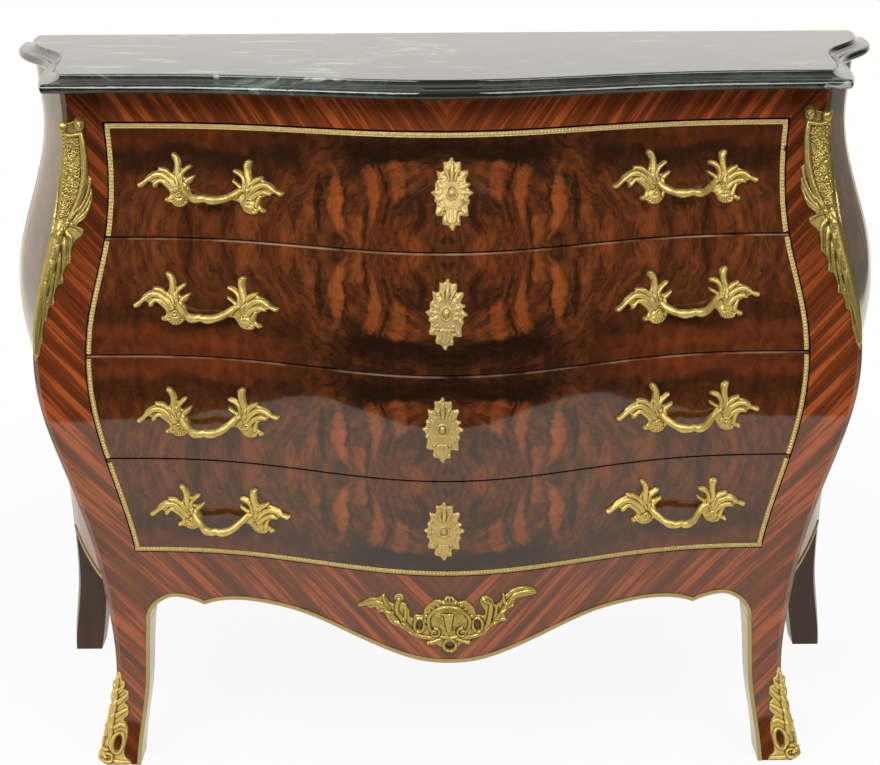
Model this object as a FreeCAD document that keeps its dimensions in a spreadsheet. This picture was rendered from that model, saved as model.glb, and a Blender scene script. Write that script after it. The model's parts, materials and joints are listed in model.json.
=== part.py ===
"""Bombe chest of four drawers with a marble top, in millimetres.

X runs to the right of a person who faces the chest, -Y is its front and +Z is up.
The origin is on the floor, under the middle of the chest. The carcase has one
serpentine, swelling outer form, the envelope. Each curved piece is cut from it.
"""
import FreeCAD, Part
import math
import os
import re

from FreeCAD import Vector

document = FreeCAD.newDocument("bombe_chest")
sheet = document.addObject("Spreadsheet::Sheet", "Sizes")

# Heights at which the form is drawn, from the floor to the underside of the marble.
STATIONS = ("foot", "ankle", "knee", "apron", "hip", "belly", "rib", "waist", "neck", "crown")
STATION_HEIGHTS = (0, 100, 190, 290, 390, 500, 590, 690, 780, 860)
# How far the front corner stands ahead of the middle of the chest.
CORNER_REACH = (140, 120, 123, 145, 171, 184.5, 180, 165, 151, 148)
# How much further forward the middle of the serpentine front swells.
FRONT_SWELL = (90, 90, 90, 93, 97, 103.5, 107, 105, 96.5, 92)
CORNER_HALF_WIDTH = (443, 424, 426.5, 438.5, 461, 489, 488, 465, 449.5, 450.5)
REAR_HALF_WIDTH = (547, 539, 541, 548, 566.5, 593.5, 592.5, 564.5, 550.5, 556.5)
# The drawer bank's side edge is drawn from the apron station to the line above drawer 1.
BANK_STATIONS = ("apron", "hip", "belly", "rib", "waist", "neck", "bank_top")
BANK_HALF_WIDTH = (385, 404, 425.5, 423, 400, 395.5, 399)

# The horizontal lines between the drawer fronts, from the top of drawer 1 downward.
DRAWER_LINES = (820, 688, 550, 420, 290)
DRAWERS = range(1, len(DRAWER_LINES))
HANDLE_PLACE_X = (277, 282, 284, 275)
HANDLE_PLACE_Z = (752, 619, 484, 358)
ROSETTE_PLACE_X = (4, -2, -5, -5)
ROSETTE_PLACE_Z = (753, 621, 487, 354)
BACK_SCREW_X = (-420, -140, 140, 420)

# Planes outside the chest, and one that every front piece lies ahead of.
FAR_X = 700
FAR_Y = 400
FRONT_END_Y = -100
BELOW_FLOOR = -20
ALL_WIDTH = (f"-{FAR_X}", f"{FAR_X}")
ALL_DEPTH = (f"-{FAR_Y}", f"{FAR_Y}")
FRONT_DEPTH = (f"-{FAR_Y}", f"{FRONT_END_Y}")

SIZES = {
    "corner_cant": 7,           # width of the flat on each front corner
    "swell_half_width": 420,    # the front is straight beyond this
    "swell_power": 3.2,         # how quickly the swelling fades towards the corners
    "side_hollow": 12,          # dip of the side behind the front corner
    "body_back": 280,           # back face of the carcase
    "front_wall": 24,
    "side_wall": 28,
    "back_rebate": 16,
    "drawer_front_wall": 22,
    "leg_back_y": -55,          # joint between front leg and side panel
    "rear_leg_front_y": 230,    # joint between side panel and rear leg
    "rear_stile_inner_x": 505,
    "apron_joint_x": 362,
    "rail_joint_x": 402,
    "cavity_floor": 205,        # the legs are solid below this height
    "reveal": 2,                # gap round a drawer front
    "board_thickness": 12,
    "top_board_thickness": 18,
    "back_thickness": 12,
    "drawer_half_width": 375,
    "drawer_side": 12,
    "drawer_back_y": 250,
    "drawer_floor": 6,
    "drawer_floor_rise": 6,
    "drawer_running_gap": 0.5,
    "drawer_head_room": 9,
    "drawer_back_drop": 8,      # from the top of the sides to the top of the back
    "guide_gap": 1.5,
    "guide_width": 13.5,
    "guide_height": 20,
    "guide_front_y": -118,
    "stop_length": 12,
    "stop_width": 30,
    "stop_height": 12,
    "stop_place_x": 240,
    "bead_width": 7.5,
    "bead_height": 2,
    "trim_width": 5,
    "trim_height": 1.6,
    "mount_height": 5,
    "bail_radius": 4,
    "bail_half_span": 26,
    "bail_root_drop": 14,
    "bail_root_rise": 1,
    "bail_sag": 4,
    "bail_stand_off": 24,
    "bolt_radius": 2,
    "bolt_head_radius": 5,
    "bolt_head_height": 3,
    "bolt_place_x": 40,
    "bolt_drop": 5,
    "bolt_proud": 1.5,          # from the inner face of the drawer front to the head
    "bolt_bite": 2.5,           # how far the bolt goes into the handle
    "rosette_height": 86,
    "rosette_width": 46,
    "rosette_lobes": 16,
    "rosette_boss_radius": 9,
    "rosette_boss_height": 7,
    "rosette_boss_sink": 4,
    "marble_top_z": 880,
    "marble_lip_z": 871,
    "marble_ear_x": 441,
    "marble_ear_reach": 182,
    "marble_swell": 77,
    "marble_back": 294.3,
    "marble_lip": 20,
    "marble_round": 5,
    "marble_arris": 2,
    "screw_radius": 2,
    "screw_head_radius": 4.5,
    "screw_head_height": 2,
    "screw_length": 11,
}


def write_cell(row, alias, value):
    sheet.set(f"A{row}", alias)
    sheet.set(f"B{row}", str(value))
    sheet.setAlias(f"B{row}", alias)


def fill_sheet():
    entries = dict(SIZES)
    entries["bank_top_height"] = DRAWER_LINES[0]
    tables = (("height", STATION_HEIGHTS), ("corner_reach", CORNER_REACH), ("swell", FRONT_SWELL),
              ("corner_half_width", CORNER_HALF_WIDTH), ("rear_half_width", REAR_HALF_WIDTH))
    for title, values in tables:
        for station, value in zip(STATIONS, values):
            entries[f"{station}_{title}"] = value
    for station, value in zip(BANK_STATIONS, BANK_HALF_WIDTH):
        entries[f"{station}_bank_half_width"] = value
    for number, value in enumerate(DRAWER_LINES):
        entries[f"line_{number}_height"] = value
    for number in DRAWERS:
        entries[f"handle_{number}_x"] = HANDLE_PLACE_X[number - 1]
        entries[f"handle_{number}_z"] = HANDLE_PLACE_Z[number - 1]
        entries[f"rosette_{number}_x"] = ROSETTE_PLACE_X[number - 1]
        entries[f"rosette_{number}_z"] = ROSETTE_PLACE_Z[number - 1]
    for row, (alias, value) in enumerate(entries.items(), start=1):
        write_cell(row, alias, value)
    document.recompute()


def size(alias):
    return float(sheet.get(alias))


def bind(item, field, expression):
    """Bind a property; {alias} in the expression stands for a cell of the sheet."""
    item.setExpression(field, re.sub(r"\{(\w+)\}", r"Sizes.\1", expression))


# ---------------------------------------------------------------- general makers

def keep(item, label):
    item.Label = label
    return item


def feature(name, shape):
    item = document.addObject("Part::Feature", name)
    item.Shape = shape
    return item


def board(name, x_span, y_span, z_span):
    """A box between two expressions along each axis."""
    item = document.addObject("Part::Box", name)
    spans = (("Length", "x", x_span), ("Width", "y", y_span), ("Height", "z", z_span))
    for field, axis, (start, end) in spans:
        bind(item, field, f"({end}) - ({start})")
        bind(item, f"Placement.Base.{axis}", start)
    return item


def rod(name, radius, length, place):
    """A cylinder that starts at place and runs towards the front."""
    item = document.addObject("Part::Cylinder", name)
    bind(item, "Radius", radius)
    bind(item, "Height", length)
    item.Placement = FreeCAD.Placement(place, FreeCAD.Rotation(Vector(1, 0, 0), 90))
    return item


def common(name, first, second):
    item = document.addObject("Part::MultiCommon", name)
    item.Shapes = [first, second]
    return item


def cut(name, base, tool):
    item = document.addObject("Part::Cut", name)
    item.Base = base
    item.Tool = tool
    return item


def fuse(name, items):
    item = document.addObject("Part::MultiFuse", name)
    item.Shapes = items
    return item


def group(name, items):
    item = document.addObject("Part::Compound", name)
    item.Links = items
    return item


def mirrored(name, source):
    item = document.addObject("Part::Mirroring", name)
    item.Source = source
    item.Normal = Vector(1, 0, 0)
    return item


def prism(name, wire, start, end):
    """Fill a closed wire that lies in the plane Y = 0 or X = 0 and extrude it."""
    outline = feature(f"{name}_outline", Part.Face(wire))
    across_y = wire.BoundBox.YLength < wire.BoundBox.XLength
    axis = Vector(0, 1, 0) if across_y else Vector(1, 0, 0)
    item = document.addObject("Part::Extrusion", name)
    item.Base = outline
    item.DirMode = "Custom"
    item.Dir = axis
    item.LengthFwd = end
    item.LengthRev = -start
    item.Solid = True
    return item


def curve(points):
    spline = Part.BSplineCurve()
    spline.interpolate(points)
    return spline.toShape()


def polyline(points):
    return [Part.makeLine(a, b) for a, b in zip(points, points[1:])]


def closed(edges):
    return Part.Wire(Part.__sortEdges__(edges))


def mirror_edges(edges):
    plane_base, plane_normal = Vector(0, 0, 0), Vector(1, 0, 0)
    return [edge.mirror(plane_base, plane_normal) for edge in edges]


# ---------------------------------------------------------------- the envelope

FRONT_STEPS = 20
SIDE_STEPS = 8
# Shares of the chest's depth, measured back from the front corner.
FLARE_START = 0.15
FLARE_LENGTH = 0.9
HOLLOW_LENGTH = 0.55


def swell(x):
    """1 in the middle of the front, 0 from swell_half_width outward."""
    share = min(abs(x) / size("swell_half_width"), 1)
    return math.cos(math.pi / 2 * share) ** size("swell_power")


def side_x(share, corner, rear):
    """Half width of the plan, from share 0 at the front corner to 1 at the back."""
    late = min(max((share - FLARE_START) / FLARE_LENGTH, 0), 1)
    flare = late * late * (3 - 2 * late)
    hollow = math.sin(math.pi * min(share / HOLLOW_LENGTH, 1)) ** 2
    return corner + (rear - corner) * flare - size("side_hollow") * hollow


def station_wire(station, front_inset, side_inset, back_inset):
    z = size(f"{station}_height")
    cant = size("corner_cant")
    corner_y = front_inset - size(f"{station}_corner_reach")
    back_y = size("body_back") - back_inset
    corner_x = size(f"{station}_corner_half_width") - side_inset
    rear_x = size(f"{station}_rear_half_width") - side_inset
    end_x = corner_x - cant
    front = []
    for step in range(FRONT_STEPS + 1):
        x = end_x * (2 * step / FRONT_STEPS - 1)
        front.append(Vector(x, corner_y - size(f"{station}_swell") * swell(x), z))
    side = []
    for step in range(SIDE_STEPS + 1):
        share = step / SIDE_STEPS
        y = corner_y + cant + share * (back_y - corner_y - cant)
        side.append(Vector(side_x(share, corner_x, rear_x), y, z))
    other = [Vector(-p.x, p.y, p.z) for p in reversed(side)]
    return Part.Wire([
        curve(front),
        Part.makeLine(front[-1], side[0]),
        curve(side),
        Part.makeLine(side[-1], other[0]),
        curve(other),
        Part.makeLine(other[-1], front[0]),
    ])


def lofted(name, front_inset, side_inset, back_inset):
    sections = []
    for station in STATIONS:
        wire = station_wire(station, front_inset, side_inset, back_inset)
        sections.append(feature(f"{name}_{station}", wire))
    item = document.addObject("Part::Loft", name)
    item.Sections = sections
    item.Solid = True
    item.Ruled = False
    return item


def make_forms():
    """The envelope, the spaces inside it and the thin skins outside it."""
    wall, side, rebate = size("front_wall"), size("side_wall"), size("back_rebate")
    forms = {
        "envelope": lofted("envelope", 0, 0, 0),
        "cavity": lofted("cavity", wall, side, rebate),
        "drawer_space": lofted("drawer_space", size("drawer_front_wall"), side, rebate),
    }
    for kind in ("bead", "trim", "mount"):
        rise = size(f"{kind}_height")
        outer = lofted(f"{kind}_outer", -rise, -rise, 0)
        forms[f"{kind}_skin"] = cut(f"{kind}_skin", outer, forms["envelope"])
    upper = board("cavity_room", ALL_WIDTH, ALL_DEPTH, ("{cavity_floor}", "{crown_height}"))
    forms["upper_cavity"] = common("upper_cavity", forms["cavity"], upper)
    document.recompute()
    return forms


def front_y(envelope, x, z):
    """Y of the front surface, where a line along Y first meets the envelope."""
    line = Part.makeLine(Vector(x, -FAR_Y, z), Vector(x, 0, z))
    return min(vertex.Y for vertex in envelope.Shape.common(line).Vertexes)


# ---------------------------------------------------------------- outlines, Y = 0

def flat(x, z):
    return Vector(x, 0, z)


def bank_edge(outset):
    """The right edge of the drawer bank, from the apron up, moved outward by outset."""
    points = []
    for station in BANK_STATIONS:
        x = size(f"{station}_bank_half_width") + outset
        points.append(flat(x, size(f"{station}_height")))
    return curve(points)


def bank_wire(outset):
    right = bank_edge(outset)
    left = mirror_edges([right])[0]
    low, high = [v.Point for v in right.Vertexes]
    ends = [Part.makeLine(flat(-p.x, p.z), p) for p in (low, high)]
    return closed([right, left, *ends])


LEG_INNER = ((393, 0), (388, 47), (381, 95), (378.5, 140), (375.5, 185))
LEG_TURN = ((375.5, 185), (371, 206), (361, 217), (349, 223.5), (336, 224.5))
APRON_CUSP = ((336, 224.5), (320, 221), (305, 215))
APRON_LOBE = ((305, 215), (286, 221.5), (262, 225), (222, 224), (177, 217), (127, 200),
              (76, 181), (34, 169.5), (0, 167))
OPENING_STRETCHES = (LEG_INNER, LEG_TURN, APRON_CUSP, APRON_LOBE)


def moved_out(path, distance):
    """Each point moved to the right of the way the path runs."""
    moved = []
    for number, (x, z) in enumerate(path):
        before, after = path[max(number - 1, 0)], path[min(number + 1, len(path) - 1)]
        run, rise = after[0] - before[0], after[1] - before[1]
        length = math.hypot(run, rise)
        moved.append((x + distance * rise / length, z - distance * run / length))
    return moved


def opening_wire(outset=0):
    """The edge under the apron and inside both front legs, closed below the floor."""
    path, breaks = [LEG_INNER[0]], [0]
    for stretch in OPENING_STRETCHES:
        path += stretch[1:]
        breaks.append(len(path) - 1)
    middle = breaks.pop()
    path += [(-x, z) for x, z in reversed(path[:-1])]
    breaks += [2 * middle - number for number in reversed(breaks)]
    moved = moved_out(path, outset)
    edges = [curve([flat(x, z) for x, z in moved[start:end + 1]])
             for start, end in zip(breaks, breaks[1:])]
    (foot_x, foot_z), low = moved[0], BELOW_FLOOR - outset
    base = [flat(foot_x, foot_z), flat(foot_x, low), flat(-foot_x, low), flat(-foot_x, foot_z)]
    return closed([*edges, *polyline(base)])


def make_front_regions(forms):
    """Prisms along Y that share the front face out between legs, apron, rail and drawers."""
    reveal = size("reveal")
    joint, rail = size("apron_joint_x"), size("rail_joint_x")
    top = size("crown_height")
    bank = bank_edge(reveal)
    low, high = [v.Point for v in bank.Vertexes]
    opening = prism("opening", opening_wire(), -FAR_Y, FAR_Y)
    sill = size(f"line_{len(DRAWERS)}_height") - reveal / 2
    leg_edges = [bank] + polyline([low, flat(low.x, sill), flat(joint, sill), flat(joint, 0),
                                   flat(FAR_X, 0), flat(FAR_X, top), flat(rail, top),
                                   flat(rail, high.z), high])
    leg = cut("leg_region", prism("leg_side", closed(leg_edges), -FAR_Y, FAR_Y), opening)
    apron_edges = polyline([flat(-joint, 0), flat(joint, 0), flat(joint, sill),
                            flat(-joint, sill), flat(-joint, 0)])
    middle = prism("apron_middle", closed(apron_edges), -FAR_Y, FRONT_END_Y)
    apron = cut("apron_region", middle, opening)
    bank_outer = prism("bank_outer", bank_wire(0), -FAR_Y, FRONT_END_Y)
    inner = prism("bank_inner_full", bank_wire(-size("bead_width")), -FAR_Y, FRONT_END_Y)
    middle = board("bead_middle", ALL_WIDTH, FRONT_DEPTH,
                   ("{apron_height} + {bead_width}", "{bank_top_height} - {bead_width}"))
    return {
        "opening": opening,
        "leg": leg,
        "apron": apron,
        "bank": bank_outer,
        "bead": cut("bead_region", bank_outer, common("bank_inner", inner, middle)),
    }


# ---------------------------------------------------------------- outlines, X = 0

def side_view(y, z):
    return Vector(0, y, z)


FRONT_LEG_BACK = ((-90, 0), (-77, 55), (-72, 115), (-66, 160), (-55, 190))
SIDE_APRON = ((-55, 190), (-20, 181), (30, 166), (87, 160), (145, 166), (195, 181), (230, 190))
REAR_LEG_FRONT = ((240, 0), (233, 70), (230, 190))
REAR_LEG_INNER = ((503, 0), (496, 40), (491, 90), (490, 140), (493, 180), (505, 203))


def front_leg_prism():
    top = size("crown_height")
    back = curve([side_view(y, z) for y, z in FRONT_LEG_BACK])
    heel, joint = FRONT_LEG_BACK[0], FRONT_LEG_BACK[-1]
    rest = polyline([side_view(*joint), side_view(joint[0], top), side_view(-FAR_Y, top),
                     side_view(-FAR_Y, 0), side_view(*heel)])
    return prism("front_leg_depth", closed([back, *rest]), 0, FAR_X)


def side_panel_prism():
    top = size("crown_height")
    lower = curve([side_view(y, z) for y, z in SIDE_APRON])
    front, rear = SIDE_APRON[0], SIDE_APRON[-1]
    rest = polyline([side_view(*rear), side_view(rear[0], top), side_view(front[0], top),
                     side_view(*front)])
    return prism("side_panel_height", closed([lower, *rest]), 0, FAR_X)


def side_trim_prism():
    rise = size("trim_width")
    lower = curve([side_view(y, z) for y, z in SIDE_APRON])
    upper = lower.copy()
    upper.translate(Vector(0, 0, rise))
    front, rear = SIDE_APRON[0], SIDE_APRON[-1]
    ends = [Part.makeLine(side_view(y, z), side_view(y, z + rise)) for y, z in (front, rear)]
    return prism("side_trim_band", closed([lower, upper, *ends]), 0, FAR_X)


def rear_leg_region():
    top = size("crown_height")
    front = curve([side_view(y, z) for y, z in REAR_LEG_FRONT])
    foot, joint = REAR_LEG_FRONT[0], REAR_LEG_FRONT[-1]
    rest = polyline([side_view(*joint), side_view(joint[0], top), side_view(FAR_Y, top),
                     side_view(FAR_Y, 0), side_view(*foot)])
    depth = prism("rear_leg_depth", closed([front, *rest]), 0, FAR_X)
    inner = curve([flat(x, z) for x, z in REAR_LEG_INNER])
    foot, shoulder = REAR_LEG_INNER[0], REAR_LEG_INNER[-1]
    rest = polyline([flat(*shoulder), flat(shoulder[0], top), flat(FAR_X, top), flat(FAR_X, 0),
                     flat(*foot)])
    width = prism("rear_leg_width", closed([inner, *rest]), 0, FAR_Y)
    return common("rear_leg_region", depth, width)


# ---------------------------------------------------------------- carcase

def pair(left_label, right_label, right_item):
    """Name a piece on the right and its mirror image on the left."""
    keep(right_item, right_label)
    return [keep(mirrored(left_label, right_item), left_label), right_item]


def make_carcase(forms, regions):
    envelope, cavity = forms["envelope"], forms["cavity"]
    pieces = []

    post = common("front_post", common("front_post_face", envelope, regions["leg"]),
                  front_leg_prism())
    leg = cut("front_right_leg", post, forms["upper_cavity"])
    pieces += pair("front_left_leg", "front_right_leg", leg)

    post = common("rear_post", envelope, rear_leg_region())
    leg = cut("rear_right_leg", post, forms["upper_cavity"])
    pieces += pair("rear_left_leg", "rear_right_leg", leg)

    panel = cut("right_side_panel", common("side_block", envelope, side_panel_prism()), cavity)
    pieces += pair("left_side_panel", "right_side_panel", panel)

    rail_room = board("rail_room", ("-{rail_joint_x}", "{rail_joint_x}"), FRONT_DEPTH,
                      ("{bank_top_height} + {reveal} / 2", "{crown_height}"))
    rail = cut("front_top_rail", common("rail_block", envelope, rail_room), cavity)
    apron = cut("front_apron", common("apron_block", envelope, regions["apron"]), cavity)
    pieces += [keep(rail, "front_top_rail"), keep(apron, "front_apron")]

    room = board("top_board_room", ALL_WIDTH, ALL_DEPTH,
                 ("{crown_height} - {top_board_thickness}", "{crown_height}"))
    pieces.append(keep(common("top_board", cavity, room), "top_board"))
    labels = ("dustboard_1", "dustboard_2", "dustboard_3", "bottom_board")
    for number, label in zip(DRAWERS, labels):
        line = f"{{line_{number}_height}}"
        room = board(f"{label}_room", ALL_WIDTH, ALL_DEPTH,
                     (f"{line} - {{board_thickness}} / 2", f"{line} + {{board_thickness}} / 2"))
        pieces.append(keep(common(label, cavity, room), label))

    back = board("back_panel_blank", ("-{rear_stile_inner_x}", "{rear_stile_inner_x}"),
                 ("{body_back} - {back_rebate}", "{body_back} - {back_rebate} + {back_thickness}"),
                 ("{cavity_floor}", "{crown_height}"))
    screws = make_back_screws()
    pieces += [keep(cut("back_panel", back, screws), "back_panel"), screws]
    return pieces


def back_screw_places():
    """Across each board that the back panel is screwed to."""
    places = []
    for number in DRAWERS:
        height = size(f"line_{number}_height")
        places += [(x, height) for x in BACK_SCREW_X]
    return places


def countersunk_screw(x, z):
    """One screw through the back panel, its head flush with the outer face."""
    radius, head = size("screw_radius"), size("screw_head_radius")
    depth, length = size("screw_head_height"), size("screw_length")
    face_y = size("body_back") - size("back_rebate") + size("back_thickness")
    start, forward = Vector(x, face_y, z), Vector(0, -1, 0)
    shank = Part.makeCylinder(radius, length, start, forward)
    cone = Part.makeCone(head, radius, depth, start, forward)
    return shank.fuse(cone).removeSplitter()


def make_back_screws():
    screws = [countersunk_screw(x, z) for x, z in back_screw_places()]
    return keep(feature("back_screws", Part.makeCompound(screws)), "back_screws")


def make_guides():
    """Strips beside each drawer box and blocks behind it, all on the board below."""
    strips, stops = [], []
    for number in DRAWERS:
        deck = f"{{line_{number}_height}} + {{board_thickness}} / 2"
        near = "{drawer_half_width} + {guide_gap}"
        far = f"{near} + {{guide_width}}"
        back = "{body_back} - {back_rebate}"
        for side, (start, end) in (("right", (near, far)), ("left", (f"-({far})", f"-({near})"))):
            strips.append(board(f"guide_{side}_{number}", (start, end), ("{guide_front_y}", back),
                                (deck, f"{deck} + {{guide_height}}")))
        for side, sign in (("right", "1"), ("left", "-1")):
            middle = f"{sign} * {{stop_place_x}}"
            stops.append(board(
                f"stop_{side}_{number}",
                (f"{middle} - {{stop_width}} / 2", f"{middle} + {{stop_width}} / 2"),
                ("{drawer_back_y} + {drawer_running_gap}",
                 "{drawer_back_y} + {drawer_running_gap} + {stop_length}"),
                (deck, f"{deck} + {{stop_height}}")))
    return [keep(group("drawer_guides", strips), "drawer_guides"),
            keep(group("drawer_stops", stops), "drawer_stops")]


# ---------------------------------------------------------------- marble

MARBLE_SIDE = ((441, -182), (457, -120), (466, -45), (477, 30), (500, 90), (528, 150),
               (547, 215), (554.5, 292))


def marble_wire(outset, z):
    """Plan of the slab, straight at the back, with its front and sides moved outward."""
    back = size("marble_back")
    reach = size("marble_ear_reach")
    ear_x = size("marble_ear_x")
    side = [Vector(x + outset, y, z) for x, y in MARBLE_SIDE]
    side[0] = Vector(ear_x + outset, -reach - outset, z)
    side[-1] = Vector(MARBLE_SIDE[-1][0] + outset, back, z)
    front = []
    for step in range(FRONT_STEPS + 1):
        x = (ear_x + outset) * (2 * step / FRONT_STEPS - 1)
        front.append(Vector(x, -reach - outset - size("marble_swell") * swell(x), z))
    other = [Vector(-p.x, p.y, p.z) for p in reversed(side)]
    return Part.Wire([curve(front), curve(side), Part.makeLine(side[-1], other[0]), curve(other)])


# How far the cove stands out and how far it is above the lip, from its top to its foot.
MARBLE_COVE = ((0, 6), (2, 3.6), (6, 1.4), (12, 0))
NEAR_BACK_Y = 200           # only the slab's rear edge lies wholly behind this
FLATNESS = 0.01


def slab_layer(outset, bottom, top):
    return Part.Face(marble_wire(outset, bottom)).extrude(Vector(0, 0, top - bottom))


def level_rims(shape, lowest):
    """The level edges from a height upward, without the one along the back."""
    return [edge for edge in shape.Edges
            if edge.BoundBox.ZLength < FLATNESS
            and edge.BoundBox.ZMin > lowest - FLATNESS
            and edge.BoundBox.YMin < NEAR_BACK_Y]


def make_marble():
    """A slab with a bull-nosed lip below, a cove above it and a softened top edge."""
    bottom, lip_z, top = size("crown_height"), size("marble_lip_z"), size("marble_top_z")
    lip = slab_layer(size("marble_lip"), bottom, lip_z)
    lip = lip.makeFillet(size("marble_round"), level_rims(lip, bottom))
    cove = Part.makeLoft([marble_wire(out, lip_z + rise) for out, rise in MARBLE_COVE], True, True)
    crown = slab_layer(0, lip_z, top)
    crown = crown.makeFillet(size("marble_arris"), level_rims(crown, top))
    slab = lip.fuse([cove, crown]).removeSplitter()
    return [keep(feature("marble_top", slab), "marble_top")]


# ---------------------------------------------------------------- cast brass mounts

def outline_wire(points, place_x=0, place_z=0, flip=1):
    corners = [flat(place_x + flip * x, place_z + z) for x, z in points]
    return Part.Wire(polyline([*corners, corners[0]]))


def side_wire(points):
    corners = [side_view(y, z) for y, z in points]
    return Part.Wire(polyline([*corners, corners[0]]))


# The right leaf of a handle, from the root of the bail round its outer tip.
LEAF = ((22, -18), (21, -10), (24, -4), (18, 7), (27, 5), (31, 1), (32, 8), (23, 16), (27, 19),
        (33, 15), (37, 25), (44, 31), (48, 28), (44, 22), (45, 12), (54, 13), (63, 13), (72, 6),
        (78, -3), (87, -8), (84, -11), (72, -6), (67, -10), (61, -6), (54, -8), (49, -16),
        (53, -24), (45, -27), (38, -30), (28, -27))
CORNER_MOUNT = ((426, 822), (423, 800), (419, 772), (417, 748), (414, 724), (427, 706),
                (425, 694), (440, 673), (445, 655), (449, 634), (463, 616), (472, 588),
                (479, 566), (486, 552), (540, 552), (540, 830), (446, 830), (436, 816))
CORNER_MOUNT_DEPTH = ((-300, 830), (-128, 830), (-138, 760), (-160, 552), (-300, 552))
FOOT_MOUNT = ((426, 106), (419, 92), (414, 74), (413, 50), (409, 34), (411, 0), (480, 0), (480, 106))
FOOT_MOUNT_DEPTH = ((-300, 106), (-103, 106), (-96, 60), (-100, 0), (-300, 0))
APRON_SCROLL = ((0, 184), (10, 187), (20, 196), (27, 200), (30, 208), (45, 212), (60, 222),
                (70, 228), (82, 245), (103, 256), (104, 262), (88, 264), (76, 262), (66, 252),
                (58, 261), (48, 259), (46, 244), (38, 236), (32, 240), (28, 252), (14, 261),
                (0, 264))


def leaf_prisms(name, x, z):
    prisms = []
    for side, flip in (("right", 1), ("left", -1)):
        wire = outline_wire(LEAF, x, z, flip)
        prisms.append(prism(f"{name}_{side}_leaf", wire, -FAR_Y, FRONT_END_Y))
    return prisms


def bail(name, envelope, x, z):
    """A round bar from leaf to leaf that sags and stands clear of the drawer front."""
    half, root_z = size("bail_half_span"), z - size("bail_root_drop")
    ends = [Vector(end_x, front_y(envelope, end_x, root_z) - size("bail_root_rise"), root_z)
            for end_x in (x - half, x + half)]
    middle = Vector(x, (ends[0].y + ends[1].y) / 2 - size("bail_stand_off"),
                    root_z - size("bail_sag"))
    spine = feature(f"{name}_line", Part.Arc(ends[0], middle, ends[1]).toShape())
    edge = spine.Shape.Edges[0]
    ring = Part.Circle(ends[0], edge.tangentAt(edge.FirstParameter), size("bail_radius"))
    section = feature(f"{name}_section", Part.Wire([ring.toShape()]))
    item = document.addObject("Part::Sweep", name)
    item.Sections = [section]
    item.Spine = (spine, [])
    item.Solid = True
    return item


def make_handle(label, forms, x, z, bolts):
    envelope = forms["envelope"]
    plates = [common(f"{p.Name}_plate", forms["mount_skin"], p) for p in leaf_prisms(label, x, z)]
    casting = fuse(f"{label}_casting", [*plates, bail(f"{label}_bail", envelope, x, z)])
    seated = cut(f"{label}_seated", casting, envelope)
    return keep(cut(label, seated, bolts), label)


ROSETTE_NOTCH = 0.86        # reach of a notch between two lobes, as a share of the lobe's


def rosette_wire(x, z):
    lobes = int(size("rosette_lobes"))
    points = []
    for step in range(2 * lobes):
        angle = math.pi * step / lobes
        reach = ROSETTE_NOTCH if step % 2 else 1
        points.append(flat(x + size("rosette_width") / 2 * reach * math.sin(angle),
                           z + size("rosette_height") / 2 * reach * math.cos(angle)))
    return Part.Wire(polyline([*points, points[0]]))


def make_rosette(label, forms, x, z):
    """A lobed oval plate with a round boss in its middle."""
    plate = common(f"{label}_plate", forms["mount_skin"],
                   prism(f"{label}_form", rosette_wire(x, z), -FAR_Y, FRONT_END_Y))
    root = Vector(x, front_y(forms["envelope"], x, z) + size("rosette_boss_sink"), z)
    boss = rod(f"{label}_boss", "{rosette_boss_radius}",
               "{rosette_boss_height} + {rosette_boss_sink}", root)
    return keep(cut(label, fuse(f"{label}_casting", [plate, boss]), forms["envelope"]), label)


def corner_casting(label, skin, face, depth):
    """A casting that wraps the front corner, from its outlines in front and side view."""
    seen = common(f"{label}_face", skin, prism(f"{label}_form", outline_wire(face), -FAR_Y, 0))
    return common(label, seen, prism(f"{label}_depth", side_wire(depth), 0, FAR_X))


def make_fixed_mounts(forms):
    skin = forms["mount_skin"]
    corner = corner_casting("right_corner_mount", skin, CORNER_MOUNT, CORNER_MOUNT_DEPTH)
    foot = corner_casting("right_foot_mount", skin, FOOT_MOUNT, FOOT_MOUNT_DEPTH)
    mirror_half = [(-x, z) for x, z in reversed(APRON_SCROLL[1:-1])]
    scroll = outline_wire((*APRON_SCROLL, *mirror_half))
    form = prism("apron_mount_form", scroll, -FAR_Y, FRONT_END_Y)
    apron = common("apron_mount", skin, form)
    return [*pair("left_corner_mount", "right_corner_mount", corner),
            *pair("left_foot_mount", "right_foot_mount", foot),
            keep(apron, "apron_mount")]


def make_edge_trim(forms, regions):
    """Brass strips along the lower edges of the front and of both sides."""
    wider = prism("opening_wider", opening_wire(size("trim_width")), -FAR_Y, FRONT_END_Y)
    band = cut("trim_band", wider, regions["opening"])
    front = common("front_trim", forms["trim_skin"], band)
    side = common("right_side_trim", forms["trim_skin"], side_trim_prism())
    return [keep(group("edge_trim", [front, side, mirrored("left_side_trim", side)]), "edge_trim")]


# ---------------------------------------------------------------- drawers

def make_bolts(number, envelope):
    """Two bolts for each handle, with their heads inside the drawer."""
    bolts, x, z = [], size(f"handle_{number}_x"), size(f"handle_{number}_z") - size("bolt_drop")
    wall, head = size("drawer_front_wall"), size("bolt_head_height")
    for side in (-1, 1):
        for end in (-1, 1):
            place_x = side * x + end * size("bolt_place_x")
            face = front_y(envelope, place_x, z)
            inner = Vector(place_x, face + wall + size("bolt_proud"), z)
            name = f"bolt_{number}_{'right' if side > 0 else 'left'}_{'b' if end > 0 else 'a'}"
            shank = rod(f"{name}_shank", "{bolt_radius}",
                        "{drawer_front_wall} + {bolt_proud} + {bolt_bite}", inner)
            cap = rod(f"{name}_head", "{bolt_head_radius}", "{bolt_head_height}",
                      inner + Vector(0, head, 0))
            bolts.append(fuse(name, [shank, cap]))
    return bolts


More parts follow.
